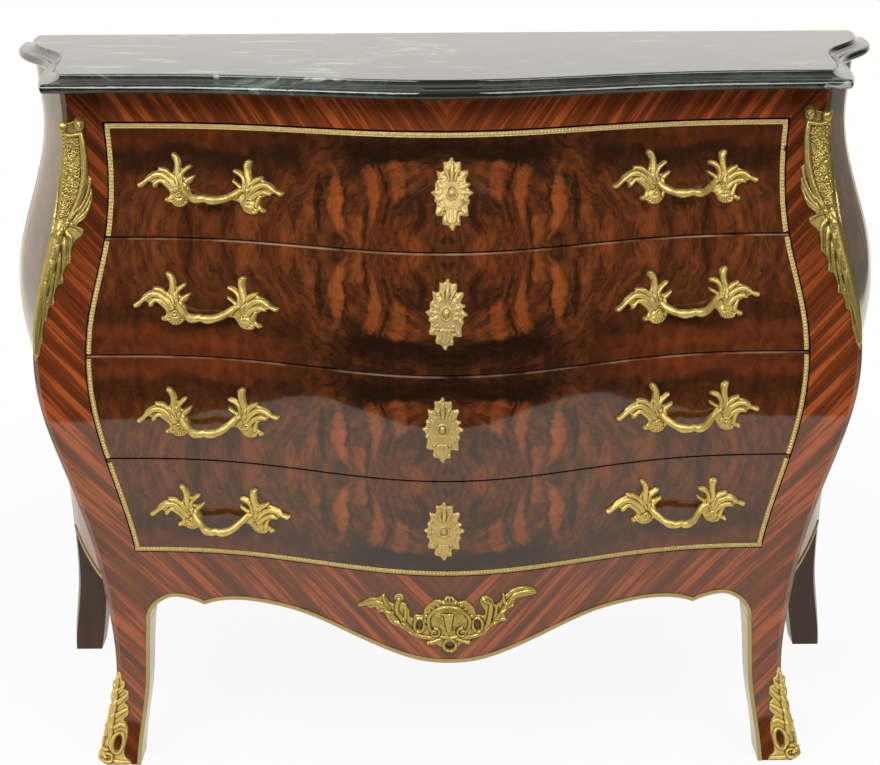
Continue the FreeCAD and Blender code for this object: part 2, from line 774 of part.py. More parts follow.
def make_drawer(number, forms, bank_shell, bank_beads):
    label = f"drawer_{number}"
    low, high = f"{{line_{number}_height}}", f"{{line_{number - 1}_height}}"
    room = board(f"{label}_room", ALL_WIDTH, FRONT_DEPTH,
                 (f"{low} + {{reveal}} / 2", f"{high} - {{reveal}} / 2"))
    bolts = make_bolts(number, forms["envelope"])
    holes = group(f"{label}_holes", bolts)
    front = cut(f"{label}_front", common(f"{label}_front_blank", bank_shell, room), holes)
    beads = common(f"{label}_beading", bank_beads, room)

    floor_z = f"{low} + {{board_thickness}} / 2 + {{drawer_running_gap}}"
    top_z = f"{high} - {{drawer_head_room}}"
    inner_x = "{drawer_half_width} - {drawer_side}"
    back_y = "{drawer_back_y} - {drawer_side}"
    sides = []
    for side, (start, end) in (("right", (inner_x, "{drawer_half_width}")),
                               ("left", ("-{drawer_half_width}", f"-({inner_x})"))):
        blank = board(f"{label}_{side}_blank", (start, end), (f"-{FAR_Y}", "{drawer_back_y}"),
                      (floor_z, top_z))
        sides.append(common(f"{label}_{side}_side", forms["drawer_space"], blank))
    back = board(f"{label}_back", (f"-({inner_x})", inner_x), (back_y, "{drawer_back_y}"),
                 (floor_z, f"{top_z} - {{drawer_back_drop}}"))
    blank = board(f"{label}_bottom_blank", (f"-({inner_x})", inner_x), (f"-{FAR_Y}", back_y),
                  (f"{floor_z} + {{drawer_floor_rise}}",
                   f"{floor_z} + {{drawer_floor_rise}} + {{drawer_floor}}"))
    bottom = common(f"{label}_bottom", forms["drawer_space"], blank)

    x, z = size(f"handle_{number}_x"), size(f"handle_{number}_z")
    pieces = [keep(front, f"{label}_front"), keep(beads, f"{label}_beading"),
              keep(group(f"{label}_sides", sides), f"{label}_sides"),
              keep(back, f"{label}_back"), keep(bottom, f"{label}_bottom"),
              make_handle(f"{label}_left_handle", forms, -x, z, holes),
              make_handle(f"{label}_right_handle", forms, x, z, holes),
              make_rosette(f"{label}_escutcheon", forms, size(f"rosette_{number}_x"),
                           size(f"rosette_{number}_z")),
              keep(group(f"{label}_screws", bolts), f"{label}_screws")]
    return pieces


def make_drawers(forms, regions):
    front_shell = cut("front_shell", forms["envelope"], forms["drawer_space"])
    bank_shell = common("bank_shell", front_shell, regions["bank"])
    bank_beads = common("bank_beads", forms["bead_skin"], regions["bead"])
    pieces = []
    for number in DRAWERS:
        pieces += make_drawer(number, forms, bank_shell, bank_beads)
    return pieces


# ---------------------------------------------------------------- checks and files

def check_document():
    for item in document.Objects:
        if "Invalid" in item.State or "Error" in item.State:
            raise RuntimeError(f"{item.Label}: {item.State}")


def check_piece(piece):
    shape = piece.Shape
    if shape.isNull() or not shape.isValid() or not shape.Solids:
        raise RuntimeError(f"{piece.Label} has no valid solid")


def write_pieces(pieces):
    os.makedirs("parts", exist_ok=True)
    for piece in pieces:
        piece.Shape.exportStep(f"parts/{piece.Label}.step")


def main():
    fill_sheet()
    forms = make_forms()
    regions = make_front_regions(forms)
    pieces = make_carcase(forms, regions)
    pieces += make_guides()
    pieces += make_marble()
    pieces += make_fixed_mounts(forms)
    pieces += make_edge_trim(forms, regions)
    pieces += make_drawers(forms, regions)
    document.recompute()
    check_document()
    for piece in pieces:
        check_piece(piece)
    write_pieces(pieces)
    print(f"{len(pieces)} sub-parts written")


main()
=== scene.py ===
"""The looks of a bombe chest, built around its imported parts, in metres.

The chest's front faces -Y. The veneers, marble and metals are procedural. The cast
mounts are reliefs: fields of heights, drawn stroke by stroke in millimetres on a flat
sheet, and then laid on the curved woodwork.
"""

import json
import math
import random

import bpy
import numpy as np
from mathutils import Matrix, Vector
from mathutils.bvhtree import BVHTree


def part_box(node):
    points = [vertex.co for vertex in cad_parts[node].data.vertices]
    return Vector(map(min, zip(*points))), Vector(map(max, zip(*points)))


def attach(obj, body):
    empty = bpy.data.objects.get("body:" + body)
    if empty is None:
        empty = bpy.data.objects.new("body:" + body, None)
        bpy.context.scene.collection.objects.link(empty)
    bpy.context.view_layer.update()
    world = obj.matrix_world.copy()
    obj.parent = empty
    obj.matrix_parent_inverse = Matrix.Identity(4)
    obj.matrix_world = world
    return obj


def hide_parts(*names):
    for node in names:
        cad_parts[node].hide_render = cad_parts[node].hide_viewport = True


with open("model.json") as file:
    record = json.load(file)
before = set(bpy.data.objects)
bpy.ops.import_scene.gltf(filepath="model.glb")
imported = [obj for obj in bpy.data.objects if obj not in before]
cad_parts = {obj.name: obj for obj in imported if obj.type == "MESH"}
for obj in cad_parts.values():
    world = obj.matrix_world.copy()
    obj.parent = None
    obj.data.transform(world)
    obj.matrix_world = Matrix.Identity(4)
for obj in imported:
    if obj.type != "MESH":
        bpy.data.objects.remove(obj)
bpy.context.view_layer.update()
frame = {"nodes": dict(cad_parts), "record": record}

MM = 0.001
NODES = frame["nodes"]
DRAWERS = (1, 2, 3, 4)
SIDES = (("left", -1), ("right", 1))


def add_object(name, data):
    item = bpy.data.objects.new(name, data)
    bpy.context.scene.collection.objects.link(item)
    return item


# ---------------------------------------------------------------- camera

PHOTO_WIDTH = 880           # pixels
FOCAL_PIXELS = 2009.63
SENSOR_WIDTH = 36.0         # millimetres
CAMERA_PLACE = Vector((-0.014, -2.4853, 1.1394))
CAMERA_YAW = 0.002          # angles in radians
CAMERA_PITCH = 0.2654
CAMERA_ROLL = -0.006


def add_camera():
    sight = Vector((math.sin(CAMERA_YAW) * math.cos(CAMERA_PITCH),
                    math.cos(CAMERA_YAW) * math.cos(CAMERA_PITCH), -math.sin(CAMERA_PITCH)))
    level = Vector((math.cos(CAMERA_YAW), -math.sin(CAMERA_YAW), 0))
    upright = level.cross(sight)
    right = math.cos(CAMERA_ROLL) * level + math.sin(CAMERA_ROLL) * upright
    up = math.cos(CAMERA_ROLL) * upright - math.sin(CAMERA_ROLL) * level
    data = bpy.data.cameras.new("camera")
    data.sensor_width = SENSOR_WIDTH
    data.sensor_fit = "HORIZONTAL"
    data.lens = FOCAL_PIXELS * SENSOR_WIDTH / PHOTO_WIDTH
    camera = add_object("camera", data)
    turn = Matrix((right, up, -sight)).transposed().to_4x4()
    camera.matrix_world = Matrix.Translation(CAMERA_PLACE) @ turn
    bpy.context.scene.camera = camera


# ---------------------------------------------------------------- shader graphs

class Wire:
    """A value in a graph of nodes; sums and products of wires add the nodes for them."""

    def __init__(self, graph, socket):
        self.graph = graph
        self.socket = socket

    def __add__(self, other):
        return self.graph.math("ADD", self, other)

    def __sub__(self, other):
        return self.graph.math("SUBTRACT", self, other)

    def __rsub__(self, other):
        return self.graph.math("SUBTRACT", other, self)

    def __mul__(self, other):
        return self.graph.math("MULTIPLY", self, other)

    def __truediv__(self, other):
        return self.graph.math("DIVIDE", self, other)

    def __gt__(self, other):
        return self.graph.math("GREATER_THAN", self, other)

    def __lt__(self, other):
        return self.graph.math("LESS_THAN", self, other)

    def __abs__(self):
        return self.graph.math("ABSOLUTE", self)

    __radd__ = __add__
    __rmul__ = __mul__


class Graph:
    """The nodes of a material or of the world; methods add to them and give back wires."""

    def __init__(self, owner):
        owner.use_nodes = True
        self.owner = owner
        self.tree = owner.node_tree
        self.tree.nodes.clear()

    def node(self, kind, inputs, **settings):
        item = self.tree.nodes.new(kind)
        for key, value in settings.items():
            setattr(item, key, value)
        for key, value in inputs.items():
            if isinstance(value, Wire):
                self.tree.links.new(value.socket, item.inputs[key])
            elif value is not None:
                item.inputs[key].default_value = value
        return item

    def wire(self, kind, inputs, output=0, **settings):
        return Wire(self, self.node(kind, inputs, **settings).outputs[output])

    def math(self, operation, *terms):
        return self.wire("ShaderNodeMath", dict(enumerate(terms)), operation=operation)

    def larger(self, first, second):
        return self.math("MAXIMUM", first, second)

    def ease(self, value, start, end):
        """0 at start, 1 at end, smooth between."""
        inputs = {0: value, 1: start, 2: end}
        return self.wire("ShaderNodeMapRange", inputs, interpolation_type="SMOOTHSTEP")

    def near(self, value, target, start, end):
        """0 where a value is further than start from its target, 1 where it is nearer than end."""
        return self.ease(abs(value - target), start, end)

    def vector(self, x=0.0, y=0.0, z=0.0):
        return self.wire("ShaderNodeCombineXYZ", {0: x, 1: y, 2: z})

    def place(self, kind="Object"):
        """The shaded point in the chest's frame, or the world's direction, as x, y and z."""
        point = self.wire("ShaderNodeTexCoord", {}, kind)
        return [Wire(self, axis) for axis in self.node("ShaderNodeSeparateXYZ", {0: point}).outputs]

    def noise(self, point, scale, detail=3.0, rough=0.5, warp=0.0):
        inputs = {"Vector": point, "Scale": scale, "Detail": detail, "Roughness": rough,
                  "Distortion": warp}
        return self.wire("ShaderNodeTexNoise", inputs, noise_dimensions="3D")

    def ramp(self, value, stops):
        """A colour between stops, each a position and a colour from 0 to 255."""
        item = self.node("ShaderNodeValToRGB", {0: value})
        knots = item.color_ramp.elements
        while len(knots) < len(stops):
            knots.new(0.5)
        for knot, (position, color) in zip(knots, stops):
            knot.position = position
            knot.color = rgb(*color)
        return Wire(self, item.outputs[0])

    def mix(self, share, first, second, blend="MIX"):
        inputs = {0: share, 6: first, 7: second}
        return self.wire("ShaderNodeMix", inputs, 2, data_type="RGBA", blend_type=blend)

    def bump(self, height, distance, strength):
        inputs = {"Height": height, "Distance": distance, "Strength": strength}
        return self.wire("ShaderNodeBump", inputs)

    def surface(self, color, rough, normal=None, **constants):
        """The finished material; constants go straight to the shader's own sockets."""
        inputs = {"Base Color": color, "Roughness": rough, "Normal": normal, **constants}
        shader = self.wire("ShaderNodeBsdfPrincipled", inputs)
        self.node("ShaderNodeOutputMaterial", {"Surface": shader})
        return self.owner


def material_graph(name):
    return Graph(bpy.data.materials.new(name))


def rgb(red, green, blue):
    """A colour as seen, 0 to 255, turned into the linear values a shader takes."""
    def linear(value):
        share = value / 255
        return share / 12.92 if share <= 0.04045 else ((share + 0.055) / 1.055) ** 2.4
    return linear(red), linear(green), linear(blue), 1.0


WHITE = rgb(255, 255, 255)


# ---------------------------------------------------------------- veneers

LACQUER_ROUGHNESS = 0.06
LACQUER_IOR = 1.62


def lacquered(graph, color, place):
    """Hand-rubbed lacquer: faintly uneven, which shows only in its reflections."""
    ripple = graph.bump(graph.noise(graph.vector(*place), 11.0, 1.0), 0.0009, 0.4)
    return graph.surface(color, LACQUER_ROUGHNESS, ripple, IOR=LACQUER_IOR)


STRIPE_WANDER = 0.004
# Noises that make up the stripes, from broad bands to fibres, and last a slow drift of the
# wood's shade: length of its grain, seed, scale, detail, roughness and share of the tone.
STRIPE_NOISES = (
    (0.03, 0.0, 54.0, 0.0, 0.5, 0.46), (0.04, 4.0, 190.0, 1.0, 0.5, 0.40),
    (0.05, 9.0, 620.0, 3.0, 0.6, 0.14), (0.35, 14.0, 13.0, 1.0, 0.5, 0.26),
)
STRIPE_TONE = -0.13         # brings the noises' sum back to the middle of the colours
STRIPE_COLORS = ((0.36, (76, 36, 16)), (0.45, (90, 42, 19)), (0.51, (103, 48, 21)),
                 (0.54, (112, 52, 24)), (0.57, (138, 66, 31)), (0.68, (148, 74, 37)))


def stripes(graph, across, along):
    """Kingwood stripes of uneven width; across and along are in metres."""
    wander = graph.noise(graph.vector(across, along), 7.0, 2.0) - 0.5
    across = across + wander * STRIPE_WANDER
    tone = STRIPE_TONE
    for length, seed, scale, detail, rough, share in STRIPE_NOISES:
        point = graph.vector(across, along * length, seed)
        tone = tone + graph.noise(point, scale, detail, rough) * share
    return graph.ramp(tone, STRIPE_COLORS)


def crossbands(graph, run, z, slope):
    """Stripes that climb with the run from a line of symmetry."""
    return stripes(graph, z - run * slope, run + z * slope)


TOP_LIGHT_AND_SHADE_EDGE = (0.54, 0.70)   # heights between which the veneer turns to its painted top shade on the stiles and its painted top light on the frieze


def crossband_material(name, slope, crown):
    """Stripes that meet in a V at the middle; the crown scales the colour near the top: painted shade on
    the stiles' tops, painted light on the frieze.
    """
    graph = material_graph(name)
    x, y, z = graph.place()
    shade = graph.ease(z, *TOP_LIGHT_AND_SHADE_EDGE) * (crown - 1.0) + 1.0
    color = graph.mix(1.0, crossbands(graph, abs(x), z, slope), shade, "MULTIPLY")
    return lacquered(graph, color, (x, y, z))


BOOK_LINE = 0.688           # height of the upper line about which the figure is mirrored
BOOK_HEIGHT = 0.134         # from a mirror line to the next edge of the figure
OVAL_HALF_WIDTH = 0.150
OVAL_HALF_HEIGHT = 0.100
BURL_WARPS = ((13.0, 0.034, 0.0), (46.0, 0.016, 3.0), (150.0, 0.0055, 5.0))     # scale, reach, seed
BURL_REDDENING = (1.0, 0.84, 0.80, 1.0)
BURL_COLORS = ((0.25, (30, 16, 8)), (0.37, (45, 24, 12)), (0.47, (69, 36, 17)),
               (0.55, (91, 47, 22)), (0.65, (114, 58, 27)), (0.78, (138, 70, 33)))
# Noises that turn about the oval: scale across and along it, seed, detail, share of the tone.
LOBES = (7.5, 2.6, 0.0, 2.0, 0.26)
STREAKS = (24.0, 4.0, 2.0, 3.0, 0.26)
FIBRES = (80.0, 9.0, 6.0, 3.0, 0.14)
VEINS = (12.0, 2.4, 4.0, 2.0)

# Clear patches of the figure, in mm from the middle and from a mirror line:
# across, up, half width, half height, how far it lightens or darkens the wood.
FIGURE_PATCHES = (
    (56, 82, 9, 24, 0.13), (87, 62, 8, 34, 0.17), (104, 20, 7, 24, 0.10), (125, 50, 10, 42, 0.20),
    (44, 12, 20, 14, 0.07), (74, 14, 8, 18, 0.06), (116, 84, 6, 18, 0.08), (158, 26, 7, 24, 0.10),
    (182, 14, 8, 16, 0.10), (226, 18, 16, 14, 0.09), (282, 24, 12, 18, 0.07), (330, 14, 14, 12, 0.07),
    (30, 34, 5, 16, -0.10), (69, 36, 4, 30, -0.12), (95, 40, 3, 30, -0.10), (114, 60, 3, 34, -0.10),
    (146, 50, 4, 40, -0.12), (40, 58, 20, 16, -0.10), (72, 84, 3, 22, -0.14),
)


def book_matched(graph, u, z):
    """The figure's own coordinates, pushed about by noise as the grain of a burl is."""
    v = graph.math("PINGPONG", z - BOOK_LINE, BOOK_HEIGHT)
    for scale, reach, seed in BURL_WARPS:
        push = graph.noise(graph.vector(u, v, seed), scale, 1.0) - 0.5
        pull = graph.noise(graph.vector(u, v, seed + 1.5), scale, 1.0) - 0.5
        u, v = u + push * reach, v + pull * reach
    return u, v


def burl_ground(graph, u, v, z):
    """Light and dark of the wood, from 0 to 1, and the ring that its figure turns about."""
    wide, tall = u / OVAL_HALF_WIDTH, v / OVAL_HALF_HEIGHT
    ring = graph.math("SQRT", wide * wide + tall * tall)
    outer = graph.ease(ring, 0.6, 1.2)
    across = wide * (1.0 - outer) + ring * outer
    along = tall * (1.0 - outer) + graph.math("ARCTAN2", tall, wide) * outer

    def figure(over, up, seed, detail, share=1.0):
        return graph.noise(graph.vector(across * over, along * up, seed), 1.0, detail) * share

    vein = graph.near(figure(*VEINS), 0.5, 0.035, 0.0)
    mottle = graph.noise(graph.vector(u, v * 0.6, 8.0), 85.0, 4.0, 0.6)
    busy = figure(*LOBES) + figure(*STREAKS) + figure(*FIBRES) + mottle * 0.34 - vein * 0.07
    flow = graph.noise(graph.vector(u * 7.0, v * 46.0, 7.0), 1.0, 4.0, 0.5, 0.4)
    calm = flow * 0.28 + 0.05 + graph.ease(z, 0.70, 0.64) * 0.06 + mottle * 0.30
    lively = graph.larger(1.0 - graph.ease(v, 0.060, 0.100), graph.ease(u, 0.185, 0.150))
    return busy * lively + calm * (1.0 - lively), ring


def burl(graph, u, z):
    """Burl walnut, matched like a book's pages; u is the distance from its upright mirror line."""
    u, v = book_matched(graph, u, z)
    tone, ring = burl_ground(graph, u, v, z)
    for over, up, half_width, half_height, amount in FIGURE_PATCHES:
        offset = graph.vector((u - over * MM) * (1 / (half_width * MM)),
                              (v - up * MM) * (1 / (half_height * MM)))
        far = graph.wire("ShaderNodeVectorMath", {0: offset}, "Value", operation="LENGTH")
        tone = tone + graph.ease(far, 1.2, 0.6) * amount
    rim = graph.near(ring, 1.13, 0.15, 0.02) * graph.ease(v, 0.05, 0.09)
    crown = graph.ease(v, 0.088, 0.106) * graph.ease(u, 0.17, 0.10)
    red = graph.ease(v, 0.096, 0.112) * graph.ease(u, 0.15, 0.20)
    tone = tone - rim * 0.13 - crown * 0.12 + red * 0.10
    color = graph.ramp(tone, BURL_COLORS)
    warm = graph.ease(graph.noise(graph.vector(u, v, 9.0), 9.0, 2.0), 0.45, 0.65)
    return graph.mix(graph.larger(warm * 0.6, red), color, BURL_REDDENING, "MULTIPLY")


ARRIS_HIGHLIGHTS = ((2, 0.42), (3, 0.30))     # drawer, and how pale its upper edge is painted: a painted highlight where the arris catches the light
ARRIS_HIGHLIGHT_WIDTH = (0.0024, 0.0014)


def painted_arris_highlights(graph, x, z):
    """Painted highlights, in patches, along the upper edges of two drawers, where their arrises catch the
    light.
    """
    total = 0.0
    for number, highlight_share in ARRIS_HIGHLIGHTS:
        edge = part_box(f"drawer_{number}_front")[1][2]
        total = graph.near(z, edge, *ARRIS_HIGHLIGHT_WIDTH) * highlight_share + total
    patchy = graph.ease(graph.noise(graph.vector(x, 0.0, z), 14.0, 3.0, 0.6), 0.34, 0.62)
    return total * patchy


def burl_material():
    """The drawer fronts' veneer."""
    graph = material_graph("burl_walnut")
    x, y, z = graph.place()
    # the upper arrises of two drawers get a pale painted highlight
    color = graph.mix(painted_arris_highlights(graph, x, z), burl(graph, abs(x), z), rgb(196, 158, 128))
    return lacquered(graph, color, (x, y, z))


SIDE_FIELD = (-0.018, 0.194, 0.262, 0.836)      # lowest and highest y, then z
STRINGING_WIDTH = 0.0022
KINGWOOD_SLOPE = 1.1
FRIEZE_SLOPE = 1.35


def side_material():
    """A side panel's veneers: a burl field, a line of pale stringing, and crossbands round it."""
    graph = material_graph("side_veneer")
    x, y, z = graph.place()
    near, far, low, high = SIDE_FIELD
    run = abs(y - (near + far) / 2)
    rise = abs(z - (low + high) / 2)
    outside = graph.larger(run - (far - near) / 2, rise - (high - low) / 2)
    color = graph.mix(outside > 0.0, burl(graph, run, z), crossbands(graph, run, z, KINGWOOD_SLOPE))
    line = abs(outside - STRINGING_WIDTH / 2) < STRINGING_WIDTH / 2
    return lacquered(graph, graph.mix(line, color, rgb(158, 118, 70)), (x, y, z))


GRAIN_STRETCH = 0.06        # timber's pattern is drawn out along its grain by this factor


def plain_wood(name, dark, pale, rough, grain_axis):
    """Straight-grained timber; its grain runs along the named axis."""
    graph = material_graph(name)
    point = graph.vector(*(share * (GRAIN_STRETCH if axis == grain_axis else 1.0)
                           for axis, share in zip("xyz", graph.place())))
    pores = graph.noise(point, 420.0, 4.0, 0.7)
    tone = graph.noise(point, 38.0, 3.0, 0.5, 0.6) * 0.7 + pores * 0.3
    color = graph.ramp(tone, ((0.32, dark), (0.66, pale)))
    return graph.surface(color, rough, graph.bump(pores, 0.0004, 0.5))


# ---------------------------------------------------------------- marble and metals

NOSE_PATCH = -0.205         # x of a pale green patch that breaks the marble's edge
MARBLE_FLAT = (0.874, 0.8785)       # heights between which the edge turns into the flat top


def marble_material():
    graph = material_graph("green_marble")
    x, y, z = graph.place()
    point = graph.vector(x, y, z)
    drift = graph.noise(point, 3.5, 3.0, 0.6)
    shift = graph.vector(drift * 0.6, drift * 0.35, drift * 0.2)
    moved = graph.wire("ShaderNodeVectorMath", {0: point, 1: shift}, operation="ADD")
    veins = abs(graph.noise(moved, 4.5, 5.0, 0.62) - 0.5)
    patch = graph.ease(graph.noise(moved, 3.1, 2.0), 0.52, 0.64)
    cloud = graph.ease(graph.noise(moved, 22.0, 6.0, 0.7), 0.46, 0.66)
    fleck = graph.ease(graph.noise(moved, 60.0, 5.0, 0.7), 0.48, 0.62)
    flat = graph.ease(z, *MARBLE_FLAT)
    spot = graph.near(x, NOSE_PATCH, 0.055, 0.015) * (1.0 - flat)
    broken = cloud * (patch * graph.ease(veins, 0.09, 0.0))
    broken = graph.larger(broken * 0.7, spot * fleck * 0.45)
    wisps = graph.noise(graph.vector(x * 0.30, y, 2.0), 34.0, 3.0, 0.6, 0.6)
    rare = graph.ease(x, -0.25, 0.15) * 0.04 + 0.59
    wisps = graph.ease(wisps - rare, 0.0, 0.045) * flat
    color = graph.mix(cloud * 0.7, rgb(24, 28, 22), rgb(50, 60, 47))
    color = graph.mix(broken, color, rgb(122, 152, 124))
    color = graph.mix(graph.ease(veins, 0.018, 0.0) * (patch * 0.7), color, rgb(176, 180, 164))
    color = graph.mix(wisps * 0.7, color, rgb(176, 186, 166))
    return graph.surface(color, 0.07, IOR=1.6)


def brass_material(name, bright, dull, gloss):
    """Cast brass, dull and dark in its hollows: patina there, and painted shade as well."""
    graph = material_graph(name)
    point = graph.vector(*graph.place())
    hollow = graph.wire("ShaderNodeAttribute", {}, "Fac", attribute_name="hollow")
    stain = graph.noise(point, 110.0, 4.0, 0.6)
    # the hollows take the dull colour: partly patina, partly painted shade
    patina_and_shade = graph.ease(hollow + (stain - 0.5) * 0.5, 0.42, 0.95)
    lit = graph.mix(stain, rgb(*bright), rgb(*(0.92 * part for part in bright)))
    color = graph.mix(patina_and_shade, lit, rgb(*dull))
    normal = graph.bump(graph.noise(point, 380.0, 3.0), 0.0006, 0.7)
    return graph.surface(color, patina_and_shade * 0.25 + stain * 0.14 + gloss, normal, Metallic=0.85)


def steel_material():
    graph = material_graph("screw_steel")
    stain = graph.noise(graph.vector(*graph.place()), 300.0, 3.0)
    color = graph.ramp(stain, ((0.3, (120, 116, 108)), (0.7, (176, 172, 164))))
    return graph.surface(color, stain * 0.3 + 0.25, Metallic=1.0)


GILT_BRASS = brass_material("gilt_brass", (226, 200, 120), (116, 92, 40), 0.38)
OAK_DARK = (138, 100, 62)
OAK_PALE = (186, 148, 102)
MATERIALS = {
    "burl_veneer": burl_material(),
    # crown below 1: painted shade, the stiles' veneer darkened towards the top
    "kingwood_veneer": crossband_material("kingwood_crossband", KINGWOOD_SLOPE, crown=0.60),
    "dark_wood": plain_wood("dark_stained_wood", (34, 19, 13), (70, 41, 30), 0.3, "z"),
    "secondary_wood": plain_wood("carcase_pine", (122, 88, 54), (168, 130, 88), 0.7, "x"),
    "drawer_lining": plain_wood("drawer_oak", OAK_DARK, OAK_PALE, 0.55, "x"),
    "gilt_brass": GILT_BRASS,
    "screw_steel": steel_material(),
    "green_marble": marble_material(),
}
ROSETTE_BRASS = brass_material("rosette_brass", (216, 190, 126), (122, 100, 50), 0.42)
STRIP_BRASS = brass_material("strip_brass", (212, 190, 128), (112, 92, 50), 0.42)
OLD_BRASS = brass_material("old_brass", (192, 169, 96), (78, 62, 24), 0.27)
SIDE_VENEER = side_material()
SIDE_LINING = plain_wood("drawer_side_oak", OAK_DARK, OAK_PALE, 0.55, "y")
NODE_MATERIALS = {
    # crown above 1: painted light, the frieze lightened against the shadow under the marble's overhang
    "front_top_rail": crossband_material("frieze_crossband", FRIEZE_SLOPE, crown=1.10),
    "left_side_panel": SIDE_VENEER,
    "right_side_panel": SIDE_VENEER,
    **{f"drawer_{number}_sides": SIDE_LINING for number in DRAWERS},
    "edge_trim": brass_material("edge_brass", (184, 168, 118), (110, 92, 54), 0.42),
}


def dress_nodes():
    """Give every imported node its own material, or else the material of its slot."""
    for part in frame["record"]["subparts"]:
        name = part["node"]
        mesh = NODES[name].data
        mesh.materials.clear()
        mesh.materials.append(NODE_MATERIALS.get(name, MATERIALS[part["material_slot"]]))


# ---------------------------------------------------------------- reliefs

NO_METAL = -3.0             # a relief's height where its sheet is bare, in millimetres
EDGE_KEPT = -0.35           # cells wholly below this height are left out
UNDERSIDE = -0.9            # a relief's back lies this deep in the wood, so no gap shows
EDGE_SLOPE = 3.0            # how steeply a stroke falls away outside its own width
EDGE_REACH = 1.5            # how far outside its width a stroke's fall is worked out
SPIRAL_TAPER = 0.35         # the share of its width that a spiral loses on its way in
HOLLOW_ROUNDS = 6
HOLLOW_DEPTH = 1.6          # millimetres below the surroundings that count as wholly hollow
FULL_TURN = 2 * math.pi


def direction(degrees):
    """Across and up for one step at an angle, turning left from the right."""
    turn = math.radians(degrees)
    return math.cos(turn), math.sin(turn)


def smooth_path(points, per_span=8):
    """A curve through all the points; their further columns are carried along it."""
    rows = np.array(points, float)
    ends = np.vstack((2 * rows[0] - rows[1], rows, 2 * rows[-1] - rows[-2]))
    share = np.linspace(0, 1, per_span, endpoint=False)[:, None]
    spans = []
    for a, b, c, d in zip(ends, ends[1:], ends[2:], ends[3:]):
        bend = 2 * a - 5 * b + 4 * c - d
        turn = 3 * b - a - 3 * c + d
        spans.append(b + 0.5 * ((c - a) * share + bend * share ** 2 + turn * share ** 3))
    return np.vstack((*spans, rows[-1:]))


def unit(vectors):
    """Vectors of the same directions, all of length 1."""
    return vectors / np.linalg.norm(vectors, axis=-1, keepdims=True)


def run_along(points):
    """How far along a row of points each of them lies."""
    return np.concatenate(([0], np.cumsum(np.hypot(*np.diff(points, axis=0).T))))


def arc(x, z, half_width, half_height, width, rise, start=0.0, sweep=FULL_TURN, points=15):
    """Rows for a stroke round an oval, or round a part of it; angles are in radians."""
    return [(x + half_width * math.cos(turn), z + half_height * math.sin(turn), width, rise)
            for turn in np.linspace(start, start + sweep, points)]


def spiral(x, z, start_radius, end_radius, start_angle, turns, width, rise):
    """Rows for a stroke that winds inward; angles are in degrees, positive turns go left."""
    rows = []
    for share in np.linspace(0, 1, max(8, int(abs(turns) * 20)) + 1):
        over, up = direction(start_angle + 360 * turns * share)
        radius = start_radius + (end_radius - start_radius) * share
        rows.append((x + radius * over, z + radius * up, width * (1 - SPIRAL_TAPER * share), rise))
    return rows


# Sections of a stroke: the height for a share of the way from its middle to its edge.

def rounded(share):
    return np.sqrt(np.maximum(1 - share ** 2, 0))


def leafy(share):
    """A leaf's section: a sunk blade between raised rims, with a vein along its middle."""
    blade = np.sqrt(np.maximum(1 - share ** 4, 0)) * (0.66 + 0.34 * share ** 2)
    return blade + 0.2 * np.exp(-(share / 0.16) ** 2)


def level(share):
    return np.sqrt(np.clip((1 - share) * 4, 0, 1))


TURN_SAMPLE = 200           # how many of a form's faces show which way they all face


def turned_out(points, faces, hollow, outward):
    """A form, with the order of its faces' corners made to match the side that shows."""
    corner, ahead, _, behind = (points[column] for column in faces[:TURN_SAMPLE].T)
    if (np.cross(ahead - corner, behind - corner) @ outward).sum() < 0:
        faces = faces[:, ::-1]
    return points, faces, hollow


